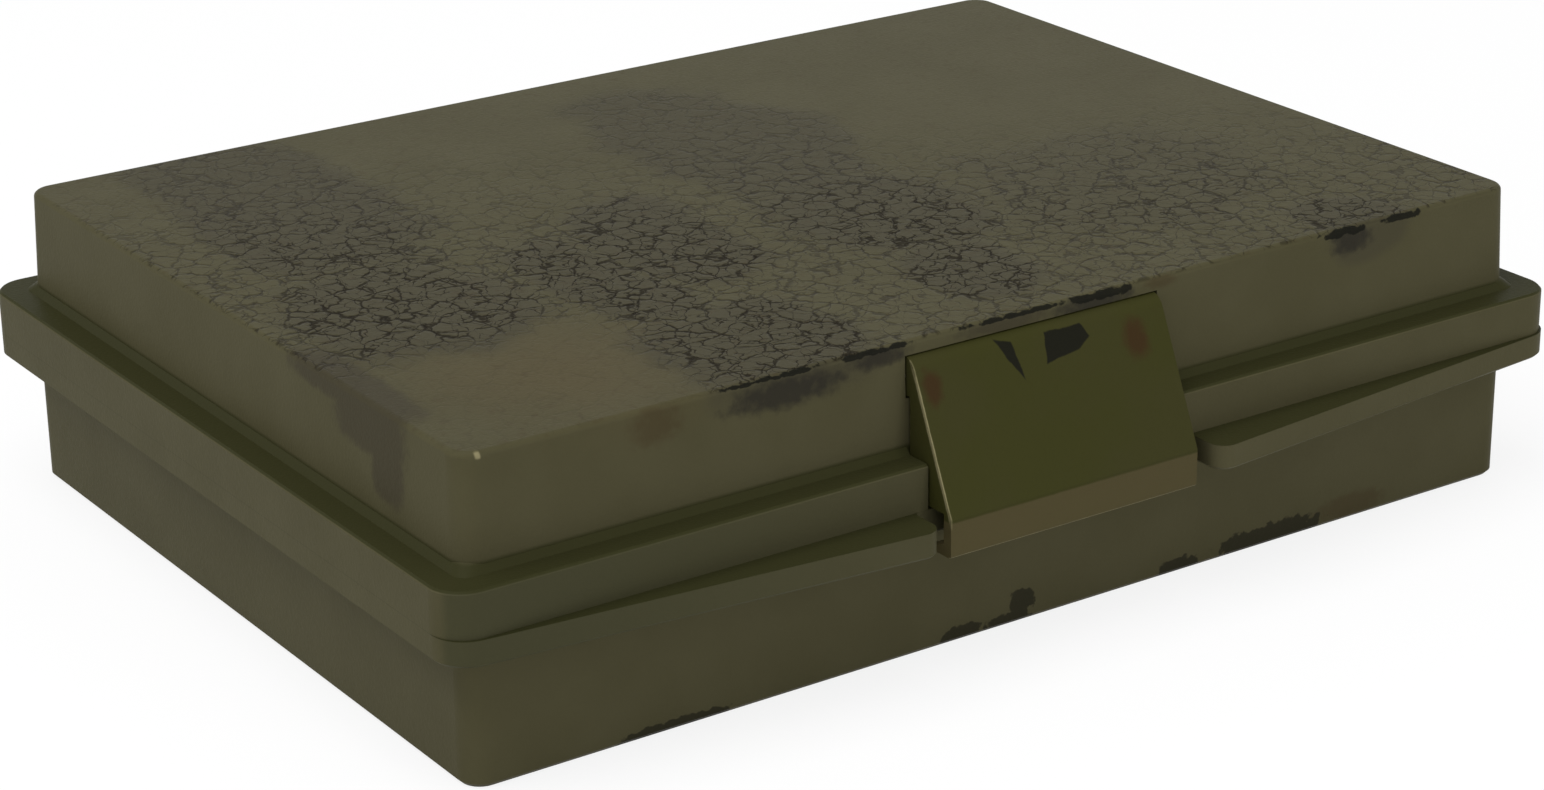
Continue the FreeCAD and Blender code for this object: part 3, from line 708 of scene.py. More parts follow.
@dataclass
class Finishes:
    """The materials inside the case and of its pins."""

    pin: Material
    screw: Material
    sea: Material
    ink: Material
    red: Material
    white: Material
    ship: Material
    box: Material
    door: Material

    @classmethod
    def mixed(cls, effects: Effects) -> "Finishes":
        """Builds every finish once.

        Args:
            effects: The shared groups.

        Returns:
            The finishes.
        """
        steels = (("bright_steel",), ("zinc_steel", (0.5, 0.5, 0.5, 1.0), (1.2, 1.2, 1.2)))
        # Name, colour, tone it wanders to, rubbed colour, roughness, grain and its height, and stretch
        plastics = (
            ("sea_board", (38, 74, 97), (45, 82, 104), (120, 140, 150), 0.42, 2.2, 0.03),
            ("white_print", (205, 205, 198), (190, 190, 182), (120, 125, 125), 0.55),
            ("peg_red", (188, 40, 34), (172, 32, 28), (205, 90, 80), 0.3, 1.5, 0.008),
            ("peg_white", (222, 220, 212), (210, 207, 196), (190, 186, 175), 0.3, 1.5, 0.008),
            ("ship_grey", (118, 121, 124), (106, 110, 114), (150, 152, 153), 0.42, 2.4, 0.025),
            ("box_charcoal", (63, 63, 60), (56, 56, 53), (95, 95, 90), 0.5, 1.8, 0.04),
            ("door_charcoal", (75, 78, 70), (70, 72, 65), (120, 122, 114), 0.3, 1.6, 0.01, (2.0, 0.06, 2.0)),
        )
        recipes = [DrawnSteel(*steel) for steel in steels]
        recipes += [MouldedPlastic(*plastic) for plastic in plastics]
        return cls(*(recipe.material(effects) for recipe in recipes))


def shown(name: str, data: bpy.types.ID) -> bpy.types.Object:
    """Puts a mesh, lamp or camera into the scene.

    Args:
        name: Object's name.
        data: The mesh, lamp or camera.

    Returns:
        The object, at the origin.
    """
    made = bpy.data.objects.new(name, data)
    bpy.context.scene.collection.objects.link(made)
    return made


@dataclass
class Surface:
    """Points, in millimetres, and the faces between them, before they become a mesh."""

    points: np.ndarray
    faces: list[list[int]]

    def placed(self, turns: np.ndarray, places: Sequence) -> "Surface":
        """Repeats the surface, each copy turned and then moved.

        Args:
            turns: A 3 x 3 turn for each copy, or one for all.
            places: A point for each copy, or the only one.

        Returns:
            All copies in one surface.
        """
        places = np.reshape(places, (-1, 1, 3))
        copies = np.einsum("kij,nj->kni", np.reshape(turns, (-1, 3, 3)), self.points) + places
        starts = np.arange(len(places)) * len(self.points)
        faces = [[index + int(start) for index in face] for start in starts for face in self.faces]
        return Surface(copies.reshape(-1, 3), faces)

    def piece(
        self, name: str, body: str, slot: str, finish: Material, smooth: bool = True
    ) -> bpy.types.Object:
        """Makes the mesh, with its seams welded, and lets it ride on a body.

        Args:
            name: Piece's name.
            body: Body that carries it.
            slot: The record's material slot; not used.
            finish: Its material.
            smooth: Whether faces are shaded as one curved skin up to sharp edges.

        Returns:
            The piece's object.
        """
        mesh = bpy.data.meshes.new(name)
        mesh.from_pydata((self.points * MM).tolist(), [], self.faces)
        skin = bmesh.new()
        skin.from_mesh(mesh)
        bmesh.ops.remove_doubles(skin, verts=skin.verts, dist=WELD)
        skin.to_mesh(mesh)
        skin.free()
        mesh.validate()
        if smooth:
            mesh.polygons.foreach_set("use_smooth", np.ones(len(mesh.polygons), dtype=bool))
            mesh.set_sharp_from_angle(angle=SHARP_EDGE)
        made = shown(name, mesh)
        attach(made, body)
        mesh.materials.append(finish)
        return made


def joined(surfaces: Sequence[Surface]) -> Surface:
    """Puts surfaces together, counting their points on.

    Args:
        surfaces: The surfaces.

    Returns:
        One surface.
    """
    starts = np.cumsum([0] + [len(surface.points) for surface in surfaces])
    faces = []
    for start, surface in zip(starts, surfaces):
        faces += [[index + int(start) for index in face] for face in surface.faces]
    return Surface(np.concatenate([surface.points for surface in surfaces]), faces)


def ringed(rings: np.ndarray, flipped: bool = False, capped: bool = False) -> Surface:
    """Skin over a stack of closed rings: each point joins its neighbour in the ring and in the next ring.

    Args:
        rings: Points in the shape (rings, points in a ring, 3), each ring anticlockwise seen from the last.
        flipped: Whether the faces look the other way.
        capped: Whether the first and last rings are closed by flat faces.

    Returns:
        The skin.
    """
    count, sides = rings.shape[:2]
    index = np.arange(count * sides).reshape(count, sides)
    after = np.roll(index, -1, axis=1)
    quads = np.stack([index[:-1], after[:-1], after[1:], index[1:]], axis=-1).reshape(-1, 4)
    faces = (quads[:, ::-1] if flipped else quads).tolist()
    if capped:
        faces += [index[0, ::-1].tolist(), index[-1].tolist()]
    return Surface(rings.reshape(-1, 3), faces)


def stacked(levels: Levels, flipped: bool = False, capped: bool = False) -> Surface:
    """Skin over level rings, each the points (x, y) of an outline at its own height z."""
    rings = [np.column_stack([outline, np.full(len(outline), height)]) for outline, height in levels]
    return ringed(np.array(rings), flipped, capped)


def circle(sides: int) -> np.ndarray:
    """Points (cos a, sin a) for angles a all round."""
    angle = np.linspace(0.0, 2 * np.pi, sides, endpoint=False)
    return np.stack([np.cos(angle), np.sin(angle)], axis=-1)


def turned(profile: Sequence[Pair], sides: int) -> Surface:
    """Closed solid of revolution: (r, z) of the profile, lowest first, goes to (r cos a, r sin a, z)."""
    around = circle(sides)
    return stacked([(around * radius, height) for radius, height in profile], capped=True)


def slab(low: Triple, high: Triple, bevel: float = SMALL_BEVEL) -> Surface:
    """Box whose upper edges are bevelled: rings of four corners, the top ring drawn in.

    Args:
        low: Lowest corner.
        high: Highest corner.
        bevel: Size of the bevel.

    Returns:
        The closed box.
    """
    middle = (np.array(low) + np.array(high))[:2] / 2
    half = (np.array(high) - np.array(low))[:2] / 2
    levels = [(0.0, low[2]), (0.0, high[2] - bevel), (bevel, high[2])]
    return stacked([(middle + SQUARE * (half - inset), z) for inset, z in levels], capped=True)


def rod(start: Triple, end: Triple, radius: float, sides: int = 10) -> Surface:
    """Round rod between two points: circles across the line that joins them.

    Args:
        start: Middle of one end.
        end: Middle of the other end.
        radius: Rod's radius.
        sides: Points in each circle.

    Returns:
        The closed rod.
    """
    run = Vector(end) - Vector(start)
    turn = np.array(run.to_track_quat("Z", "Y").to_matrix())
    return turned([(radius, 0.0), (radius, run.length)], sides).placed(turn, start)


def collar(foot: Triple, inner: float, outer: float, height: float, sides: int = 20) -> Surface:
    """Raised ring: a low profile with bevelled upper edges, carried round a circle and closed on itself.

    Args:
        foot: Middle of its foot.
        inner: Inner radius.
        outer: Outer radius.
        height: Height above the foot.
        sides: Points round the circle.

    Returns:
        The ring.
    """
    bevel = min(SMALL_BEVEL, height / 3)
    profile = [
        (outer, 0.0), (outer, height - bevel), (outer - bevel, height), (inner + bevel, height),
        (inner, height - bevel), (inner, 0.0), (outer, 0.0),
    ]
    return stacked([(circle(sides) * radius + foot[:2], foot[2] + rise) for radius, rise in profile])


def dress(node: str, material: Material) -> None:
    """Gives a CAD node its material.

    Args:
        node: CAD node's name.
        material: The material.
    """
    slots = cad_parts[node].data.materials
    slots.clear()
    slots.append(material)
    log.info("dressed %s in %s", node, material.name)


@dataclass
class CaseShells:
    """Tray, lid and latch in worn olive paint, with painted shade on the latch, the ledges and the raised
    front faces, and painted edge highlights on the latch.
    """

    top: float = 56.4
    blotch_reach: float = 6.4
    mark_out: float = 1.6
    mark_in: float = 1.0
    wall_rust: float = 0.4
    foot_wear: float = 0.75
    latch_lean: float = 24.0
    latch_fold: Pair = (-91.86, 28.8)
    lip_clear: float = 0.5
    # heights of the painted shade on the lid's and the tray's ledges
    lid_ledge: Pair = (36.7, 39.0)
    tray_ledge: Pair = (28.98, 32.0)
    # painted shade: the latch is painted darker and greener than the lid, for the dark that its leaning plate
    # reflects
    latch_shaded_olive: Colour = linear(49, 49, 22)
    latch_shaded_sunned: Colour = linear(50, 49, 25)
    latch_skin: float = 2.0

    def blotch(self, left: float, right: float, near: float, far: float, strength: float = 1.0) -> Mark:
        """Soft dark blotch on the lid's top, which runs a little way down the walls.

        Args:
            left: Lowest X.
            right: Highest X.
            near: Lowest Y.
            far: Highest Y.
            strength: How dark it is, from zero to one.

        Returns:
            The mark.
        """
        corners = (left, near, self.top - self.blotch_reach), (right, far, self.top + self.blotch_reach)
        edge = {"ragged": 1.1, "soft": 0.18, "boxy": 0.4, "broad": True}
        return Mark(MarkKind.BLOTCH, *corners, **edge, strength=strength)

    def wall_marks(self, walls: dict[Wall, WallMarks], strength: float = 1.0) -> tuple[Mark, ...]:
        """Marks on the lid's or the tray's walls, boxes that reach a little way out of the wall and into it.

        Args:
            walls: The marks on each wall.
            strength: How dark they are, from zero to one.

        Returns:
            The marks, chips with crisp edges and the others with soft ones.
        """
        marks = []
        for wall, kinds in walls.items():
            axis, stand = wall.value
            way = math.copysign(1.0, stand)
            near, far = sorted((stand + way * self.mark_out, stand - way * self.mark_in))
            for kind, boxes in kinds.items():
                edge = {} if kind is MarkKind.CHIP else {"ragged": 1.1, "soft": 0.35, "boxy": 0.2}
                share = self.wall_rust if kind is MarkKind.RUST else strength
                for start, end, low, high in boxes:
                    corners = ((start, near), (end, far)) if axis else ((near, start), (far, end))
                    marks.append(Mark(kind, (*corners[0], low), (*corners[1], high), **edge, strength=share))
        return tuple(marks)

    def latch_mark(self, kind: MarkKind, left: float, right: float, low: float, high: float) -> Mark:
        """Soft mark on the latch's leaning plate.

        Args:
            kind: What it is.
            left: Lowest X.
            right: Highest X.
            low: Lowest Z.
            high: Highest Z.

        Returns:
            The mark.
        """
        fold_y, fold_z = self.latch_fold
        y = fold_y + ((low + high) / 2 - fold_z) * math.tan(math.radians(self.latch_lean))
        corners = (left, y - self.latch_skin, low), (right, y + self.latch_skin, high)
        return Mark(kind, *corners, ragged=1.0, soft=0.5, boxy=0.0, lean=self.latch_lean)

    def lid_marks(self) -> tuple[Mark, ...]:
        """Blotches, stains and chips on the lid.

        Returns:
            The marks.
        """
        # Left, right, near and far side of each blotch, and its strength where it is faint
        blotches = (
            (-96, -57, 2, 84), (-103, -65, -42, 6), (-62, -42, -48, 0), (-42, -19, -38, 13),
            (-66, -28, -82, -46), (-11, 30, -6, 62, 0.9), (-11, 26, -46, 0), (-9, 15, -72, -44),
            (28, 84, -62, -6, 0.5), (66, 86, -84, -66, 0.9),
        )
        smears = (
            ((-116, -63, 53), (-104, -24, 60)),
            ((-114, -63, 47.6), (-106, -40, 57)),
            ((-114, -62, 41), (-106, -52, 53)),
        )
        areas = (
            Mark(MarkKind.CALM, (-120, -100, 50), (-63, -38, 62), ragged=0.5, soft=0.2, boxy=1.0, broad=True),
            Mark(MarkKind.CALM, (36, 0, 50), (116, 90, 62), ragged=0.5, soft=0.4, broad=True),
            Mark(MarkKind.FADED, (-98, -74, 50), (-62, -40, 62), ragged=0.9, soft=0.9, boxy=0.0, broad=True),
            Mark(MarkKind.NICK_AND_HIGHLIGHT, (-107.1, -80.6, 55.3), (-106.2, -78.4, 56.3), ragged=0.8, soft=0.4),
        )
        walls = {
            Wall.FRONT: {
                MarkKind.SOOT: (
                    (-62, -38, 50.4, 56), (-38, -25, 53, 56.4), (4, 22, 52.6, 56.6), (66, 76, 51.2, 56.4),
                ),
                MarkKind.SMEAR: ((-16, 4, 53.4, 57),),
                MarkKind.RUST: ((-80, -70, 50, 57), (24, 31, 54, 57)),
                MarkKind.CHIP: (
                    (-62, -42, 55.6, 57.4), (-40, -24, 55.4, 57.4), (-16, 8, 55.6, 57.2), (8, 22, 54.8, 57.6),
                    (64, 75, 54.8, 57.2), (78, 88, 55, 57.2),
                ),
            },
            Wall.BACK: {
                MarkKind.SOOT: ((38, 66, 51, 56.4),),
                MarkKind.SMEAR: ((-60, -40, 49, 56.4),),
                MarkKind.RUST: ((-84, -74, 50, 57),),
                MarkKind.CHIP: ((40, 62, 55.2, 57.4), (-12, 6, 55.4, 57.2), (-98, -84, 55.2, 57.4)),
            },
            Wall.RIGHT: {
                MarkKind.SOOT: ((-54, -30, 51, 56.4),),
                MarkKind.SMEAR: ((0, 20, 48, 56.4),),
                MarkKind.RUST: ((44, 54, 50, 57),),
                MarkKind.CHIP: ((-50, -33, 55.2, 57.4), (20, 34, 55.2, 57.2)),
            },
        }
        marks = tuple(self.blotch(*place) for place in blotches) + areas
        marks += tuple(Mark(MarkKind.SMEAR, low, high, ragged=0.5, soft=0.2) for low, high in smears)
        return marks + self.wall_marks(walls)

    def tray_marks(self) -> tuple[Mark, ...]:
        """Chips and stains along the tray's lower edge.

        Returns:
            The marks.
        """
        walls = {
            Wall.FRONT: {
                MarkKind.CHIP: (
                    (-84, -62, -1.6, 2), (-19, -11, -1.6, 2.8), (-10, 0, -1.6, 2.4), (-5, 0.4, 2, 6),
                    (28, 38, -1.6, 2.8), (42, 66, -2, 4),
                ),
                MarkKind.RUST: ((66, 81, 0.6, 5),),
            },
            Wall.BACK: {
                MarkKind.CHIP: ((-70, -44, -1.8, 3), (22, 30, -1.6, 2.6), (60, 84, -1.8, 3.4)),
                MarkKind.RUST: ((-42, -28, 0.6, 5),),
            },
            Wall.RIGHT: {
                MarkKind.CHIP: ((-60, -40, -1.8, 3.2), (10, 18, -1.6, 2.6), (30, 52, -1.8, 2.6)),
                MarkKind.RUST: ((-38, -26, 0.6, 5),),
            },
        }
        return self.wall_marks(walls, self.foot_wear)

    def latch_marks(self) -> tuple[AnyMark, ...]:
        """Chips and stains on the latch, pale lines of wear and painted highlight on its edges, and its lip
        in the walls' tan.

        Returns:
            The marks.
        """
        rubbed = {"ragged": 0.7, "soft": 0.3, "boxy": 1.0, "lean": self.latch_lean}
        lip_top = self.latch_fold[1] - self.lip_clear
        left_chip = ((-5.0, 46.2), (-5.5, 49.4), (-6.2, 52.4), (-9.2, 53.2), (-7.8, 50.2))
        right_chip = ((0.0, 47.7), (7.2, 48.8), (9.8, 50.2), (8.5, 52.4), (0.8, 52.5))
        return (
            OutlinedChip(MarkKind.CHIP, left_chip),
            OutlinedChip(MarkKind.CHIP, right_chip),
            self.latch_mark(MarkKind.RUST, -25.4, -21.6, 46, 51.4),
            self.latch_mark(MarkKind.RUST, 16.6, 21.4, 44.6, 51.4),
            # pale lines: along the plate's left edge rubbed wear and painted edge highlight, along the lip's
            # lower edge painted edge highlight
            Mark(MarkKind.NICK_AND_HIGHLIGHT, (-26.6, -87.3, 27.5), (-26.0, -86.1, 53.5), **rubbed),
            Mark(MarkKind.NICK_AND_HIGHLIGHT, (-26, -92.6, 21.4), (26, -91.4, 22.2), ragged=0.4, soft=0.4, boxy=1.0),
            # the lip faces forward like the walls and is painted back to their tan, out of the latch's
            # painted shade
            Mark(MarkKind.FADED, (-30, -104, 12), (30, -80, lip_top), ragged=0.02, soft=0.03, boxy=1.0),
        )

    def dress(self, effects: Effects) -> None:
        """Paints the three shells.

        Args:
            effects: The shared groups.
        """
        # painted shade on the ledges of both shells and on their raised front faces
        lid = WornPaint("lid_paint", self.lid_marks(), crackled=True, ledge=self.lid_ledge, rim_shaded=True)
        tray = WornPaint("tray_paint", self.tray_marks(), ledge=self.tray_ledge, rim_shaded=True)
        # the latch's darker green is painted shade of its leaning plate
        latch = WornPaint("latch_paint", self.latch_marks(), olive=self.latch_shaded_olive, sunned=self.latch_shaded_sunned)
        for node, paint in (("lid_shell", lid), ("base_shell", tray), ("front_latch", latch)):
            dress(node, paint.material(effects))


@dataclass
class Screws:
    """Domed screws with a cross recess, standing on a board's face."""

    head_radius: float = 2.5
    head_height: float = 1.6
    edge_height: float = 0.5
    recess_depth: float = 0.8
    recess_half_width: float = 0.38
    recess_slope: float = 0.12
    recess_reach: float = 1.5
    recess_end: float = 0.3
    shank_radius: float = 1.1
    shank_length: float = 7.0
    sides: int = 48

    def one(self) -> Surface:
        """Screw with its seat at the origin and its head up.

        The head's height falls from its middle as the square of the radius, less a cross-shaped recess.

        Returns:
            The closed screw.
        """
        # Rings from the head's edge to a small flat in its middle, as shares of its radius
        share = np.concatenate([[0.03], np.linspace(0.1, 1.0, 16)])[::-1, None]
        x, y = (self.head_radius * share * part for part in circle(self.sides).T)
        near, far = np.minimum(abs(x), abs(y)), np.maximum(abs(x), abs(y))
        arm = np.clip((self.recess_half_width - near) / self.recess_slope + 1, 0, 1)
        arm = arm * np.clip((self.recess_reach - far) / self.recess_end, 0, 1)
        dome = self.edge_height + (self.head_height - self.edge_height) * (1 - share ** 2)
        dome_rings = np.stack([x, y, dome - self.recess_depth * arm], axis=-1)
        edge = np.stack([x[0], y[0], np.zeros(self.sides)], axis=-1)
        root = edge * self.shank_radius / self.head_radius
        tip = root - [0, 0, self.shank_length]
        return ringed(np.concatenate([[tip, root, edge], dome_rings]), capped=True)


def letter_mesh(text: str, size: float, proud: float) -> Surface:
    """Outline of a letter or number, filled and given a little thickness.

    Args:
        text: What it says.
        size: Letter height in millimetres.
        proud: Thickness above its base.

    Returns:
        The closed letter, its middle at the origin.
    """
    curve = bpy.data.curves.new("letter", "FONT")
    curve.body = text
    curve.size = size
    curve.extrude = proud / 2
    curve.resolution_u = 3
    curve.align_x = "CENTER"
    curve.align_y = "CENTER"
    holder = bpy.data.objects.new("letter", curve)
    mesh = bpy.data.meshes.new_from_object(holder)
    points = np.empty(3 * len(mesh.vertices))
    mesh.vertices.foreach_get("co", points)
    mesh.calc_loop_triangles()
    corners = np.empty(3 * len(mesh.loop_triangles), dtype=int)
    mesh.loop_triangles.foreach_get("vertices", corners)
    bpy.data.objects.remove(holder)
    bpy.data.curves.remove(curve)
    bpy.data.meshes.remove(mesh)
    return Surface(points.reshape(-1, 3) + [0, 0, proud / 2], corners.reshape(-1, 3).tolist())


@dataclass
class PegBoard:
    """Board with a ten by ten grid of round chamfered holes, grooves between the squares, and coordinates."""

    node: str
    body: str
    centre_x: float
    half_size: Pair
    face_z: float
    facing: np.ndarray
    screw_inset: float = 6.0
    screw_twists: tuple[float, ...] = (12.0, 50.0, 71.0, 33.0)
    thickness: float = 2.0
    hole_radius: float = 1.3
    chamfer: float = 0.35
    groove: float = 0.3
    groove_width: float = 0.28
    corner: float = 2.0
    samples: int = 8
    letter_size: float = 5.6
    letter_proud: float = 0.12
    label_gap: float = 6.6

    def centres(self) -> np.ndarray:
        """Distances of the squares' centres from the board's middle, along one side."""
        return (np.arange(GRID_COUNT) - (GRID_COUNT - 1) / 2) * GRID_PITCH

    def mounted(self, surface: Surface) -> Surface:
        """Brings a surface from the origin to the middle of the board's face."""
        return surface.placed(self.facing, (self.centre_x, 0.0, self.face_z))

    def cell(self) -> Surface:
        """One square of the board: underside, hole, chamfer, face and half a groove, as rings round the hole.

        Round rings follow (cos a, sin a), square ones the same divided by its larger part.

        Returns:
            The open skin of the square.
        """
        around = circle(4 * self.samples)
        square = around / np.abs(around).max(axis=1, keepdims=True)
        half = GRID_PITCH / 2
        return stacked([
            (square * half, -self.thickness),
            (around * self.hole_radius, -self.thickness),
            (around * self.hole_radius, -self.chamfer),
            (around * (self.hole_radius + self.chamfer), 0.0),
            (square * (half - self.groove_width), 0.0),
            (square * half, -self.groove),
        ], flipped=True)

    def rim(self) -> Surface:
        """Plain edge of the board, as rings from the grid's border out, over the edge and back.

        Returns:
            The open skin of the edge.
        """
        half = GRID_PITCH / 2
        spread = half * np.tan((np.arange(self.samples) / self.samples - 0.5) * np.pi / 2)
        run = (self.centres()[:, None] + spread).ravel()
        edge = GRID_COUNT * half
        fixed = np.full(len(run), edge)
        sides = [(fixed, run), (-run, fixed), (-fixed, -run), (run, -fixed)]
        border = np.concatenate([np.column_stack(side) for side in sides])
        outer = self.rounded(border / edge, 0.0)
        return stacked([
            (border, -self.thickness),
            (outer, -self.thickness),
            (outer, -self.chamfer),
            (self.rounded(border / edge, self.chamfer), 0.0),
            (border * (edge + self.groove_width) / edge, 0.0),
            (border, -self.groove),
        ])

    def rounded(self, border: np.ndarray, inset: float) -> np.ndarray:
        """Outline of the board: a rectangle whose corner points are drawn in to a radius.

        Args:
            border: Points on a square of half size one.
            inset: Distance by which the outline stands in from the board's edge.

        Returns:
            The points on the outline.
        """
        half = np.array(self.half_size) - inset
        flat = border * half
        over = np.maximum(np.abs(flat) - (half - self.corner), 0.0)
        reach = np.linalg.norm(over, axis=1, keepdims=True)
        drawn = np.where(reach > 0, over * self.corner / np.maximum(reach, 1e-9), 0.0)
        return np.sign(flat) * (np.minimum(np.abs(flat), half - self.corner) + drawn)

    def board(self) -> Surface:
        """The whole board in place.

        Returns:
            The skin.
        """
        across, along = np.meshgrid(self.centres(), self.centres())
        places = np.column_stack([across.ravel(), along.ravel(), np.zeros(across.size)])
        return self.mounted(joined([self.cell().placed(FACE_UP, places), self.rim()]))

    def labels(self) -> Surface:
        """Letters down the left of the grid and numbers along its far side, a little proud of the face.

        Returns:
            The letters.
        """
        outside = GRID_COUNT * GRID_PITCH / 2 + self.label_gap
        surfaces = []
        for index, place in enumerate(self.centres()):
            labels = (("ABCDEFGHIJ"[index], (-outside, -place, 0.0)), (str(index + 1), (place, outside, 0.0)))
            for text, middle in labels:
                letter = letter_mesh(text, self.letter_size, self.letter_proud)
                surfaces.append(letter.placed(FACE_UP, middle))
        return self.mounted(joined(surfaces))

    def screws(self) -> Surface:
        """The four screws in the board's corners.

        Returns:
            The screws.
        """
        corner = np.array(self.half_size) - self.screw_inset
        places = np.column_stack([SQUARE * corner, np.zeros(len(SQUARE))])
        turns = np.array([Matrix.Rotation(twist, 3, "Z") for twist in np.radians(self.screw_twists)])
        return self.mounted(Screws().one().placed(turns, places))

    def build(self, finishes: Finishes) -> None:
        """Makes the board, its coordinates and its screws.

        Args:
            finishes: The finishes.
        """
        node, body = self.node, self.body
        board = self.board().piece(node + "_slab", body, "board_plastic", finishes.sea)
        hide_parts(self.node)
        self.labels().piece(node + "_coordinates", body, "white_plastic", finishes.ink, smooth=False)
        screws = self.screws().piece(node + "_cross_screws", body, "screw_steel", finishes.screw)
        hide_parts(self.node + "_screws")
        log.info("%s: board, coordinates and screws", node)


@dataclass
class Pegs:
    """Marker pegs with a rounded head and a tapered pin, in the target board and in the two wells."""

    head_radius: float = 2.1
    head_height: float = 3.6
    pin_radius: float = 1.15
    pin_length: float = 7.0
    taper: float = 0.75
    sides: int = 20
    hits: tuple[tuple[int, int], ...] = ((2, 6), (3, 6), (4, 6), (7, 2), (7, 3))
    misses: tuple[tuple[int, int], ...] = ((0, 8), (1, 3), (5, 6), (5, 1), (8, 7), (9, 4), (3, 8))
    stored_z: float = 6.0
    well_left: float = 61.1
    well_width: float = 45.4
    well_near: float = 1.0
    well_far: float = 76.0
    columns: int = 2
    rows: int = 7

    def one(self) -> Surface:
        """Peg with its shoulder at the origin, its head below and its pin up.

        Returns:
            The closed peg.
        """
        head, pin, tall = self.head_radius, self.pin_radius, self.head_height
        tip, end = pin * self.taper, self.pin_length
        profile = [
            (head * 0.2, -tall), (head * 0.5, -tall + 0.05), (head * 0.78, -tall + 0.22),
            (head * 0.94, -tall + 0.55), (head, -tall + 1.0), (head, -0.35), (head - 0.12, -0.08),
            (head - 0.35, 0.0), (pin + 0.12, 0.0), (pin, 0.2), (tip, end - 0.5), (tip * 0.86, end - 0.18),
            (tip * 0.45, end),
        ]
        return turned(profile, self.sides)

    def markers(self, cells: Sequence[tuple[int, int]]) -> Surface:
        """Pegs pushed up into the target board.

        Args:
            cells: Column and row of each, from the front left.

        Returns:
            The pegs.
        """
        flat = (np.array(cells) - (GRID_COUNT - 1) / 2) * GRID_PITCH
        places = np.column_stack([flat, np.full(len(flat), TARGET_FACE_Z)])
        return self.one().placed(FACE_UP, places)

    def stored(self, low_y: float, high_y: float) -> Surface:
        """Pegs lying in rows in a well, neighbours head to tail.

        Args:
            low_y: Front of the well.
            high_y: Back of the well.

        Returns:
            The pegs.
        """
        column, row = (grid.ravel() for grid in np.meshgrid(np.arange(self.columns), np.arange(self.rows)))
        heading = np.where((row + column) % 2, 1.0, -1.0)
        middle = self.well_left + (column + 0.5) * self.well_width / self.columns
        x = middle - heading * (self.pin_length - self.head_height) / 2
        y = low_y + (row + 0.5) * (high_y - low_y) / self.rows
        places = np.column_stack([x, y, np.full(len(x), self.stored_z)])
        turns = np.array([Matrix.Rotation(QUARTER_TURN * way, 3, "Y") for way in heading])
        return self.one().placed(turns, places)

    def build(self, finishes: Finishes) -> None:
        """Makes all four lots of pegs.

        Args:
            finishes: The finishes.
        """
        red, white = ("red_plastic", finishes.red), ("white_plastic", finishes.white)
        near, far = self.well_near, self.well_far
        lots = (
            ("hit_markers", self.markers(self.hits), "lid", red),
            ("miss_markers", self.markers(self.misses), "lid", white),
            ("red_pegs", self.stored(-far, -near), "tray", red),
            ("white_pegs", self.stored(near, far), "tray", white),
        )
        for node, surface, body, plastic in lots:
            piece = surface.piece(node + "_turned", body, *plastic)
            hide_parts(node)
            log.info("%s: %d points", node, len(surface.points))


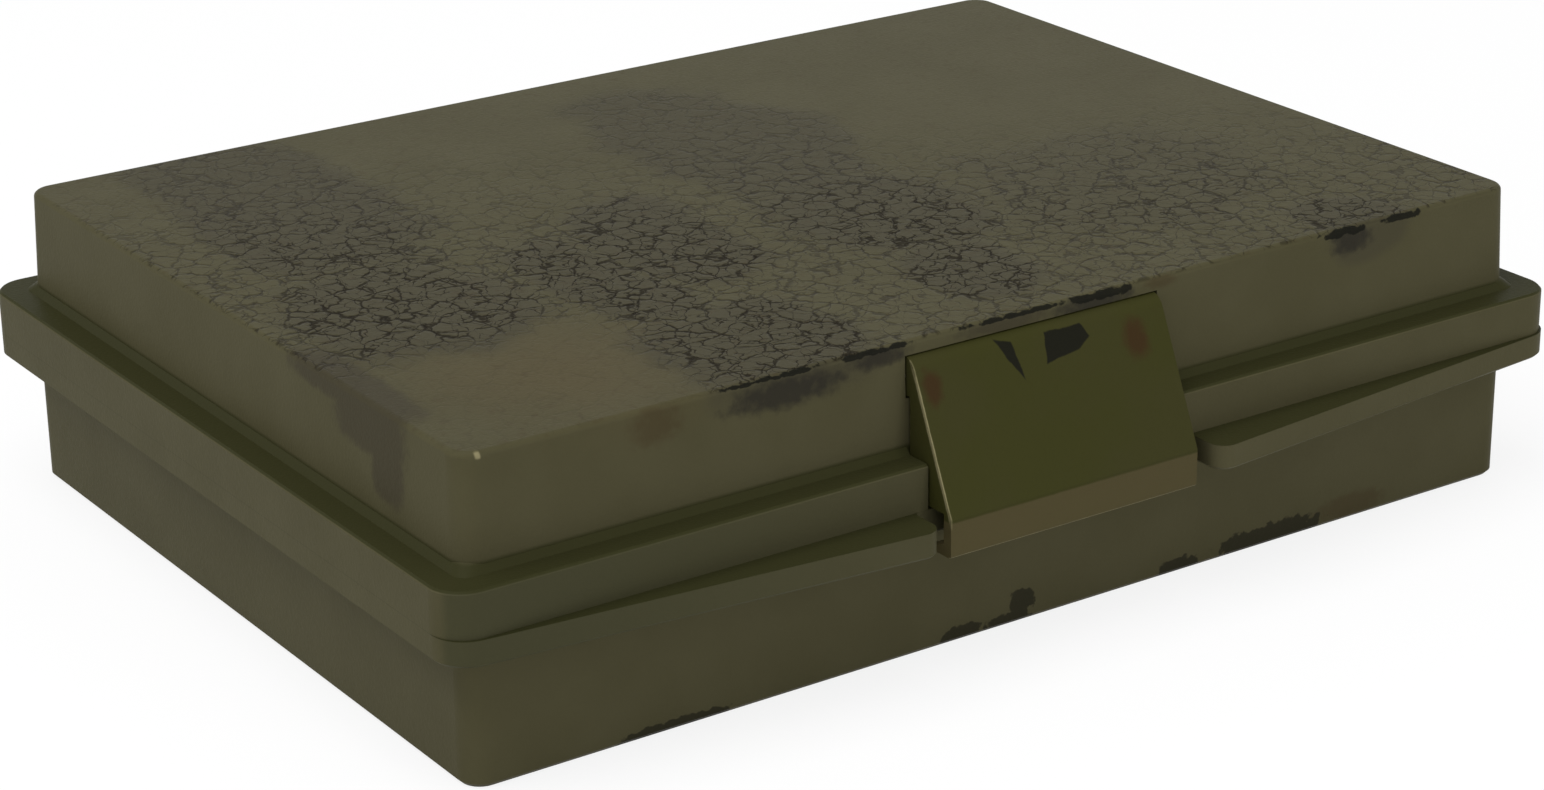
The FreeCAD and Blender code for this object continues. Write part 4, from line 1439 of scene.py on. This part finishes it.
@dataclass
class Ship:
    """A ship on the fleet board, along X with its bow at +X, with fittings on its moulded hull."""

    node: str
    holes: int
    column: int
    row: int
    along_y: bool
    deck: float = 4.4
    house: float = 2.6
    end: float = 5.0
    bow: float = 11.0
    stern_corner: float = 1.6
    base_z: float = 14.1
    sunk: float = 0.05
    hole_radius: float = 1.36
    collar_radius: float = 1.95
    collar_height: float = 0.4
    rail_wall: float = 0.45
    rail_rise: float = 0.45
    rail_foot: float = -0.1
    bow_points: int = 11
    stud_clear: float = 3.0
    stud_spacing: float = 2.6
    stud_out: float = 4.02
    stud_height: float = 2.6
    gun_out: float = 0.77
    gun_radius: float = 0.5
    muzzle_radius: float = 0.62
    line_bevel: float = 0.05

    def half_length(self) -> float:
        """Half the ship's length."""
        return (self.holes - 1) * GRID_PITCH / 2 + self.end

    def hole_places(self) -> np.ndarray:
        """X of each peg hole."""
        return (np.arange(self.holes) - (self.holes - 1) / 2) * GRID_PITCH

    def collars(self) -> list[Surface]:
        """Raised rings round the peg holes."""
        ring = (self.hole_radius, self.collar_radius, self.collar_height)
        return [collar((x, 0.0, self.deck - self.sunk), *ring) for x in self.hole_places()]

    def rail(self, pointed: bool = False, half_beam: float = 4.5, half_length: float = 0.0) -> list[Surface]:
        """Low bulwark round the deck: along the bow, its half-beam falls with the square of the share run.

        Args:
            pointed: Whether the stern is drawn like the bow.
            half_beam: Half the deck's width.
            half_length: Half the deck's length, or nought for the whole ship's.

        Returns:
            The bulwark, closed on itself.
        """
        tip = half_length or self.half_length()
        share = np.linspace(0.0, 1.0, self.bow_points, endpoint=False)
        fore = np.column_stack([tip - self.bow * (1 - share), -half_beam * (1 - share ** 2)])
        nose = np.concatenate([fore, [[tip, 0.0]], fore[::-1] * (1, -1)])
        square = np.array([(-tip + self.stern_corner, half_beam), (-tip, half_beam - self.stern_corner)])
        aft = -nose if pointed else np.concatenate([square, square[::-1] * (1, -1)])
        outer = np.concatenate([nose, aft])
        # The inner side is drawn in to the middle, by the wall over a reach that counts a quarter of X
        reach = np.linalg.norm(outer * (0.25, 1.0), axis=1, keepdims=True)
        inner = outer * (1 - self.rail_wall / np.maximum(reach, 1.0))
        foot, top = self.deck + self.rail_foot, self.deck + self.rail_rise
        return [stacked([(outer, foot), (outer, top), (inner, top), (inner, foot), (outer, foot)])]

    def portholes(self) -> list[Surface]:
        """Rows of small studs along both sides of the hull's straight run.

        Returns:
            One row for each side.
        """
        half = self.half_length()
        run = np.arange(self.stud_clear - half, half - self.bow, self.stud_spacing)
        stud = turned([(0.42, -0.2), (0.42, 0.05), (0.3, 0.18), (0.1, 0.2)], 8)
        studs = []
        for side in (-1.0, 1.0):
            turn = np.array(Matrix.Rotation(-QUARTER_TURN * side, 3, "X"))
            places = [(x, side * self.stud_out, self.stud_height) for x in run]
            studs.append(stud.placed(turn, places))
        return studs

    def turret(self, x: float, heading: float) -> list[Surface]:
        """Gun house with a rounded roof, two long guns and a hatch.

        Args:
            x: Middle of the house.
            heading: One for guns that point forward, minus one for aft.

        Returns:
            The parts.
        """
        z = self.deck
        profile = [(2.6, -0.1), (2.6, 1.2), (2.3, 1.75), (1.5, 2.0), (0.5, 2.05)]
        parts = [turned(profile, 20).placed(FACE_UP, (x, 0.0, z))]
        for y in (-self.gun_out, self.gun_out):
            barrel = (x, y, z + 0.95), (x + heading * 4.9, y, z + 1.15)
            muzzle = (x + heading * 4.2, y, z + 1.12), (x + heading * 5.1, y, z + 1.16)
            parts += [rod(*barrel, self.gun_radius), rod(*muzzle, self.muzzle_radius)]
        hatch = collar((x - heading * 0.9, 0.0, z + 1.8), 0.3, 0.65, 0.35)
        return [*parts, hatch]

    def bridge(self, x: float) -> list[Surface]:
        """Roof edges, window bands and a searchlight on the bridge block and its pilot house.

        Args:
            x: Middle of the block.

        Returns:
            The parts.
        """
        z = self.deck + self.house
        pilot = x + 1.4
        block_roof = slab((x - 3.45, -2.45, z - 0.5), (x + 3.45, 2.45, z + 0.12))
        pilot_roof = slab((pilot - 1.7, -1.7, z + 1.45), (pilot + 1.7, 1.7, z + 2.0))
        windows = []
        for y in np.linspace(-1.1, 1.1, 4):
            corners = (pilot + 1.4, y - 0.2, z + 0.55), (pilot + 1.82, y + 0.2, z + 1.15)
            windows.append(slab(*corners, self.line_bevel))
        searchlight = rod((pilot - 0.6, 0.0, z + 2.35), (pilot + 0.5, 0.0, z + 2.5), 0.5, sides=14)
        return [block_roof, pilot_roof, *windows, searchlight]

    def funnel(self, x: float) -> list[Surface]:
        """Round funnel with an open top and two bands."""
        # Rise, inner and outer radius, and height of the pipe and of each band
        rings = ((0.0, 0.8, 1.36, 3.2), (2.1, 1.3, 1.55, 0.3), (0.1, 1.3, 1.6, 0.4))
        return [collar((x, 0.0, self.deck + self.house + rise), *ring) for rise, *ring in rings]

    def mast(self, x: float, y: float, z: float) -> list[Surface]:
        """Pole with two yards and a round lookout, over the plain mast.

        Args:
            x: Place along the ship.
            y: Place across the ship.
            z: Height of its foot.

        Returns:
            The parts.
        """
        pole = turned([(0.95, 0.0), (0.8, 1.5), (0.6, 3.35), (0.3, 3.4)], 12).placed(FACE_UP, (x, y, z))
        yards = []
        for half, height in ((1.7, z + 2.3), (1.1, z + 1.5)):
            yards.append(rod((x, y - half, height), (x, y + half, height), radius=0.22))
        lookout = collar((x, y, z + 0.6), 0.7, 1.2, 0.4)
        return [pole, *yards, lookout]

    def fittings(self) -> list[Surface]:
        """Everything that stands on this kind of ship."""
        raise NotImplementedError

    def build(self, plastic: Material) -> None:
        """Puts the fittings on the ship.

        Args:
            plastic: Ship's plastic.
        """
        turn = np.array(Matrix.Rotation(QUARTER_TURN * self.along_y, 3, "Z"))
        half = (self.holes - 1) * GRID_PITCH / 2
        stern = (np.array([self.column, self.row]) - (GRID_COUNT - 1) / 2) * GRID_PITCH + (FLEET_BOARD_X, 0.0)
        middle = stern + ((0.0, half) if self.along_y else (half, 0.0))
        placed = joined(self.fittings()).placed(turn, (*middle, self.base_z))
        placed.piece(self.node + "_fittings", self.node + "_piece", "ship_plastic", plastic)
        dress(self.node, plastic)


class Carrier(Ship):
    """Long ship with a marked flight deck and an island."""

    def fittings(self) -> list[Surface]:
        """Deck lines, lifts, gun tubs, and the island's bands, stack, mast and dish.

        Returns:
            The parts.
        """
        z = self.deck
        roof = z + 3.4
        # Two corners of each line and lift on the deck, and how far it stands up
        dashes = [((x - 2.6, -0.3), (x + 2.6, 0.3), 0.14) for x in self.hole_places()[:-1] + GRID_PITCH / 2]
        borders = [((-30.4, y - 0.16), (25.4, y + 0.16), 0.14) for y in (-4.9, 4.9)]
        lifts = [((x - 3.2, -4.3), (x + 3.2, -2.0), 0.12) for x in (-19.5, 19.5)]
        parts = self.collars()
        for low, high, rise in dashes + borders + lifts:
            parts.append(slab((*low, z - self.sunk), (*high, z + rise), self.line_bevel))
        gun_tubs = [collar((x, -5.0, z - 1.0), 0.7, 1.1, 1.4) for x in (-27.0, -8.0, 22.0)]
        window_band = slab((1.8, 3.0, roof - 0.9), (11.2, 5.5, roof - 0.45), bevel=0.08)
        roof_edge = slab((1.8, 3.0, roof - 0.05), (11.2, 5.5, roof + 0.3), bevel=0.08)
        stack = slab((2.4, 3.5, roof), (4.6, 5.0, roof + 1.5), bevel=0.2)
        post = rod((9.4, 4.25, roof), (9.4, 4.25, roof + 1.6), radius=0.3)
        dish = slab((8.4, 3.95, roof + 1.4), (10.4, 4.55, roof + 2.3), bevel=0.1)
        parts += [*gun_tubs, window_band, roof_edge, stack, post, dish]
        return parts + self.mast(6.5, 4.25, roof) + self.portholes()


class HeavyCruiser(Ship):
    """Ship with turrets fore and aft of a bridge and funnel."""

    def fittings(self) -> list[Surface]:
        """Rail, portholes, two turrets, bridge and funnel."""
        parts = self.collars() + self.rail() + self.portholes() + self.turret(GRID_PITCH, 1.0)
        return parts + self.turret(-GRID_PITCH, -1.0) + self.bridge(0.0) + self.funnel(-1.8)


class LightCruiser(Ship):
    """Shorter ship with one turret forward."""

    def fittings(self) -> list[Surface]:
        """Rail, portholes, turret, bridge and funnel.

        Returns:
            The parts.
        """
        middle = -GRID_PITCH / 2
        parts = self.collars() + self.rail() + self.portholes() + self.turret(GRID_PITCH / 2, 1.0)
        return parts + self.bridge(middle) + self.funnel(middle - 1.8)


class Submarine(Ship):
    """Low boat with a fin."""

    def fittings(self) -> list[Surface]:
        """Deck edge, fin planes, periscope, a deck gun, stern planes and a mast.

        Returns:
            The parts.
        """
        z = self.deck
        fin = GRID_PITCH / 2
        parts = self.collars() + self.rail(pointed=True, half_beam=2.3, half_length=self.half_length() - 2.0)
        fin_planes = slab((fin - 1.2, -3.6, z + 2.3), (fin + 1.2, 3.6, z + 2.75))
        fin_top = slab((fin - 3.3, -1.2, z + 4.2), (fin + 3.3, 1.2, z + 4.55))
        periscope = rod((fin - 1.7, 0.0, z + 4.2), (fin - 1.7, 0.0, z + 6.6), radius=0.35)
        gun = rod((fin - 6.6, 0.0, z + 0.7), (fin - 3.8, 0.0, z + 1.0), radius=0.4)
        gun_foot = collar((fin - 5.2, 0.0, z - self.sunk), 0.2, 0.8, 0.8)
        stern_planes = slab((-16.0, -3.2, 1.9), (-13.8, 3.2, 2.4))
        parts += [fin_planes, fin_top, periscope, gun, gun_foot, stern_planes]
        return parts + self.mast(fin, 0.0, z + 4.4)


class PatrolBoat(Ship):
    """Small boat with a wheelhouse."""

    def fittings(self) -> list[Surface]:
        """Rail, wheelhouse, mast and portholes."""
        mast = self.mast(-2.2, 0.0, self.deck + self.house)
        return self.collars() + self.rail() + self.bridge(0.0) + mast + self.portholes()


@dataclass
class Studio:
    """Camera at the photograph's angle, soft lights, and a pale floor in front of white."""

    place: Triple = (-0.360194, -0.533211, 0.270187)
    turn: float = -34.191
    rise: float = 21.602
    roll: float = -0.662
    lens: float = 86.36
    sensor: float = 36.0
    shift_x: float = -0.0027
    aim: Triple = (0.0, 0.0, 0.03)
    room_light: float = 0.68
    floor_size: float = 4.0
    floor_white: float = 0.85
    paper: Colour = (0.8, 0.8, 0.8, 1.0)
    paper_roughness: float = 0.9

    def camera(self) -> None:
        """Stands the camera and makes it the scene's own."""
        turn, rise, roll = (math.radians(angle) for angle in (self.turn, self.rise, self.roll))
        back = Vector((math.sin(turn) * math.cos(rise), -math.cos(turn) * math.cos(rise), math.sin(rise)))
        level = Vector((math.cos(turn), math.sin(turn), 0.0))
        upright = back.cross(level)
        right = math.cos(roll) * level + math.sin(roll) * upright
        up = math.cos(roll) * upright - math.sin(roll) * level
        data = bpy.data.cameras.new("camera")
        data.sensor_width = self.sensor
        data.lens = self.lens
        data.shift_x = self.shift_x
        made = shown("camera", data)
        made.matrix_world = Matrix.Translation(self.place) @ Matrix((right, up, back)).transposed().to_4x4()
        bpy.context.scene.camera = made

    def lamp(self, name: str, place: Triple, size: float, power: float) -> None:
        """Hangs a square soft lamp that points at the case.

        Args:
            name: Lamp's name.
            place: Where it hangs, in metres.
            size: Side of the square.
            power: Power in watts.
        """
        data = bpy.data.lights.new(name, "AREA")
        data.size = size
        data.energy = power
        toward = (Vector(self.aim) - Vector(place)).to_track_quat("-Z", "Y")
        shown(name, data).matrix_world = Matrix.Translation(place) @ toward.to_matrix().to_4x4()

    def seen(self, bench: Bench) -> Socket:
        """One for rays from the camera, off gloss and through glass, nought for those that light the case.

        Args:
            bench: Bench on the material or the surroundings.

        Returns:
            The mask.
        """
        path = bench.add("LightPath", {}).outputs
        direct = bench.math("MAXIMUM", path["Is Camera Ray"], path["Is Glossy Ray"])
        return bench.math("MAXIMUM", direct, path["Is Transmission Ray"])

    def world(self) -> None:
        """White surroundings, which light the case at a lower level than they show."""
        made = bpy.data.worlds.new("white_room")
        made.use_nodes = True
        bench = Bench(made.node_tree)
        strength = bench.step(self.seen(bench), 0.0, 1.0, self.room_light, 1.0)
        bench.fill(made.node_tree.nodes["Background"], {"Color": (1.0, 1.0, 1.0, 1.0), "Strength": strength})
        bpy.context.scene.world = made

    def floor(self) -> None:
        """Pale floor that shows almost white and keeps a soft shadow."""
        mesh = bpy.data.meshes.new("floor")
        corners = SQUARE * self.floor_size / 2
        mesh.from_pydata(np.column_stack([corners, np.zeros(len(corners))]).tolist(), [], [(0, 1, 2, 3)])
        made = shown("floor", mesh)
        paper, bench, shader = Bench.on_material("white_paper")
        looks = {"Base Color": self.paper, "Roughness": self.paper_roughness, "Specular IOR Level": 0.0}
        bench.fill(shader, looks)
        white = bench.times(self.seen(bench), self.floor_white)
        glow = bench.add("Emission", {})
        mix = bench.add("MixShader", {0: white, 1: shader.outputs[0], 2: glow.outputs[0]})
        bench.fill(paper.node_tree.nodes["Material Output"], {"Surface": mix.outputs[0]})
        mesh.materials.append(paper)

    def build(self) -> None:
        """Sets up camera, lamps, surroundings and floor."""
        bpy.context.scene.view_settings.view_transform = "Standard"
        self.camera()
        self.lamp("key", (-0.5, -0.1, 1.4), size=1.2, power=16.5)
        self.lamp("front_fill", (0.3, -1.4, 0.26), size=0.5, power=6.4)
        self.lamp("left_fill", (-1.4, 0.2, 0.26), size=0.5, power=4.1)
        self.world()
        self.floor()


def build_scene() -> None:
    """Builds and dresses every piece."""
    effects = Effects(ragged_patch(), crackle(), moulded_skin())
    finishes = Finishes.mixed(effects)
    CaseShells().dress(effects)
    for node in ("hinge_pin_left", "hinge_pin_right", "latch_pin"):
        dress(node, finishes.pin)
    boards = (
        PegBoard("fleet_board", "tray", FLEET_BOARD_X, half_size=(83.6, 77.8), face_z=14.0, facing=FACE_UP),
        PegBoard("target_board", "lid", 0.0, half_size=(107.4, 76.9), face_z=TARGET_FACE_Z, facing=FACE_DOWN),
    )
    for board in boards:
        board.build(finishes)
    Pegs().build(finishes)
    dress("peg_box", finishes.box)
    dress("red_peg_door", finishes.door)
    dress("white_peg_door", finishes.door)
    fleet = (
        Carrier("carrier", holes=5, column=1, row=7, along_y=False, deck=5.8),
        HeavyCruiser("heavy_cruiser", holes=4, column=8, row=3, along_y=True),
        LightCruiser("light_cruiser", holes=3, column=3, row=4, along_y=False),
        Submarine("submarine", holes=3, column=1, row=2, along_y=True),
        PatrolBoat("patrol_boat", holes=2, column=5, row=1, along_y=False),
    )
    for ship in fleet:
        ship.build(finishes.ship)
    Studio().build()


if __name__ == "__main__":
    logging.basicConfig(level=logging.INFO)
    build_scene()
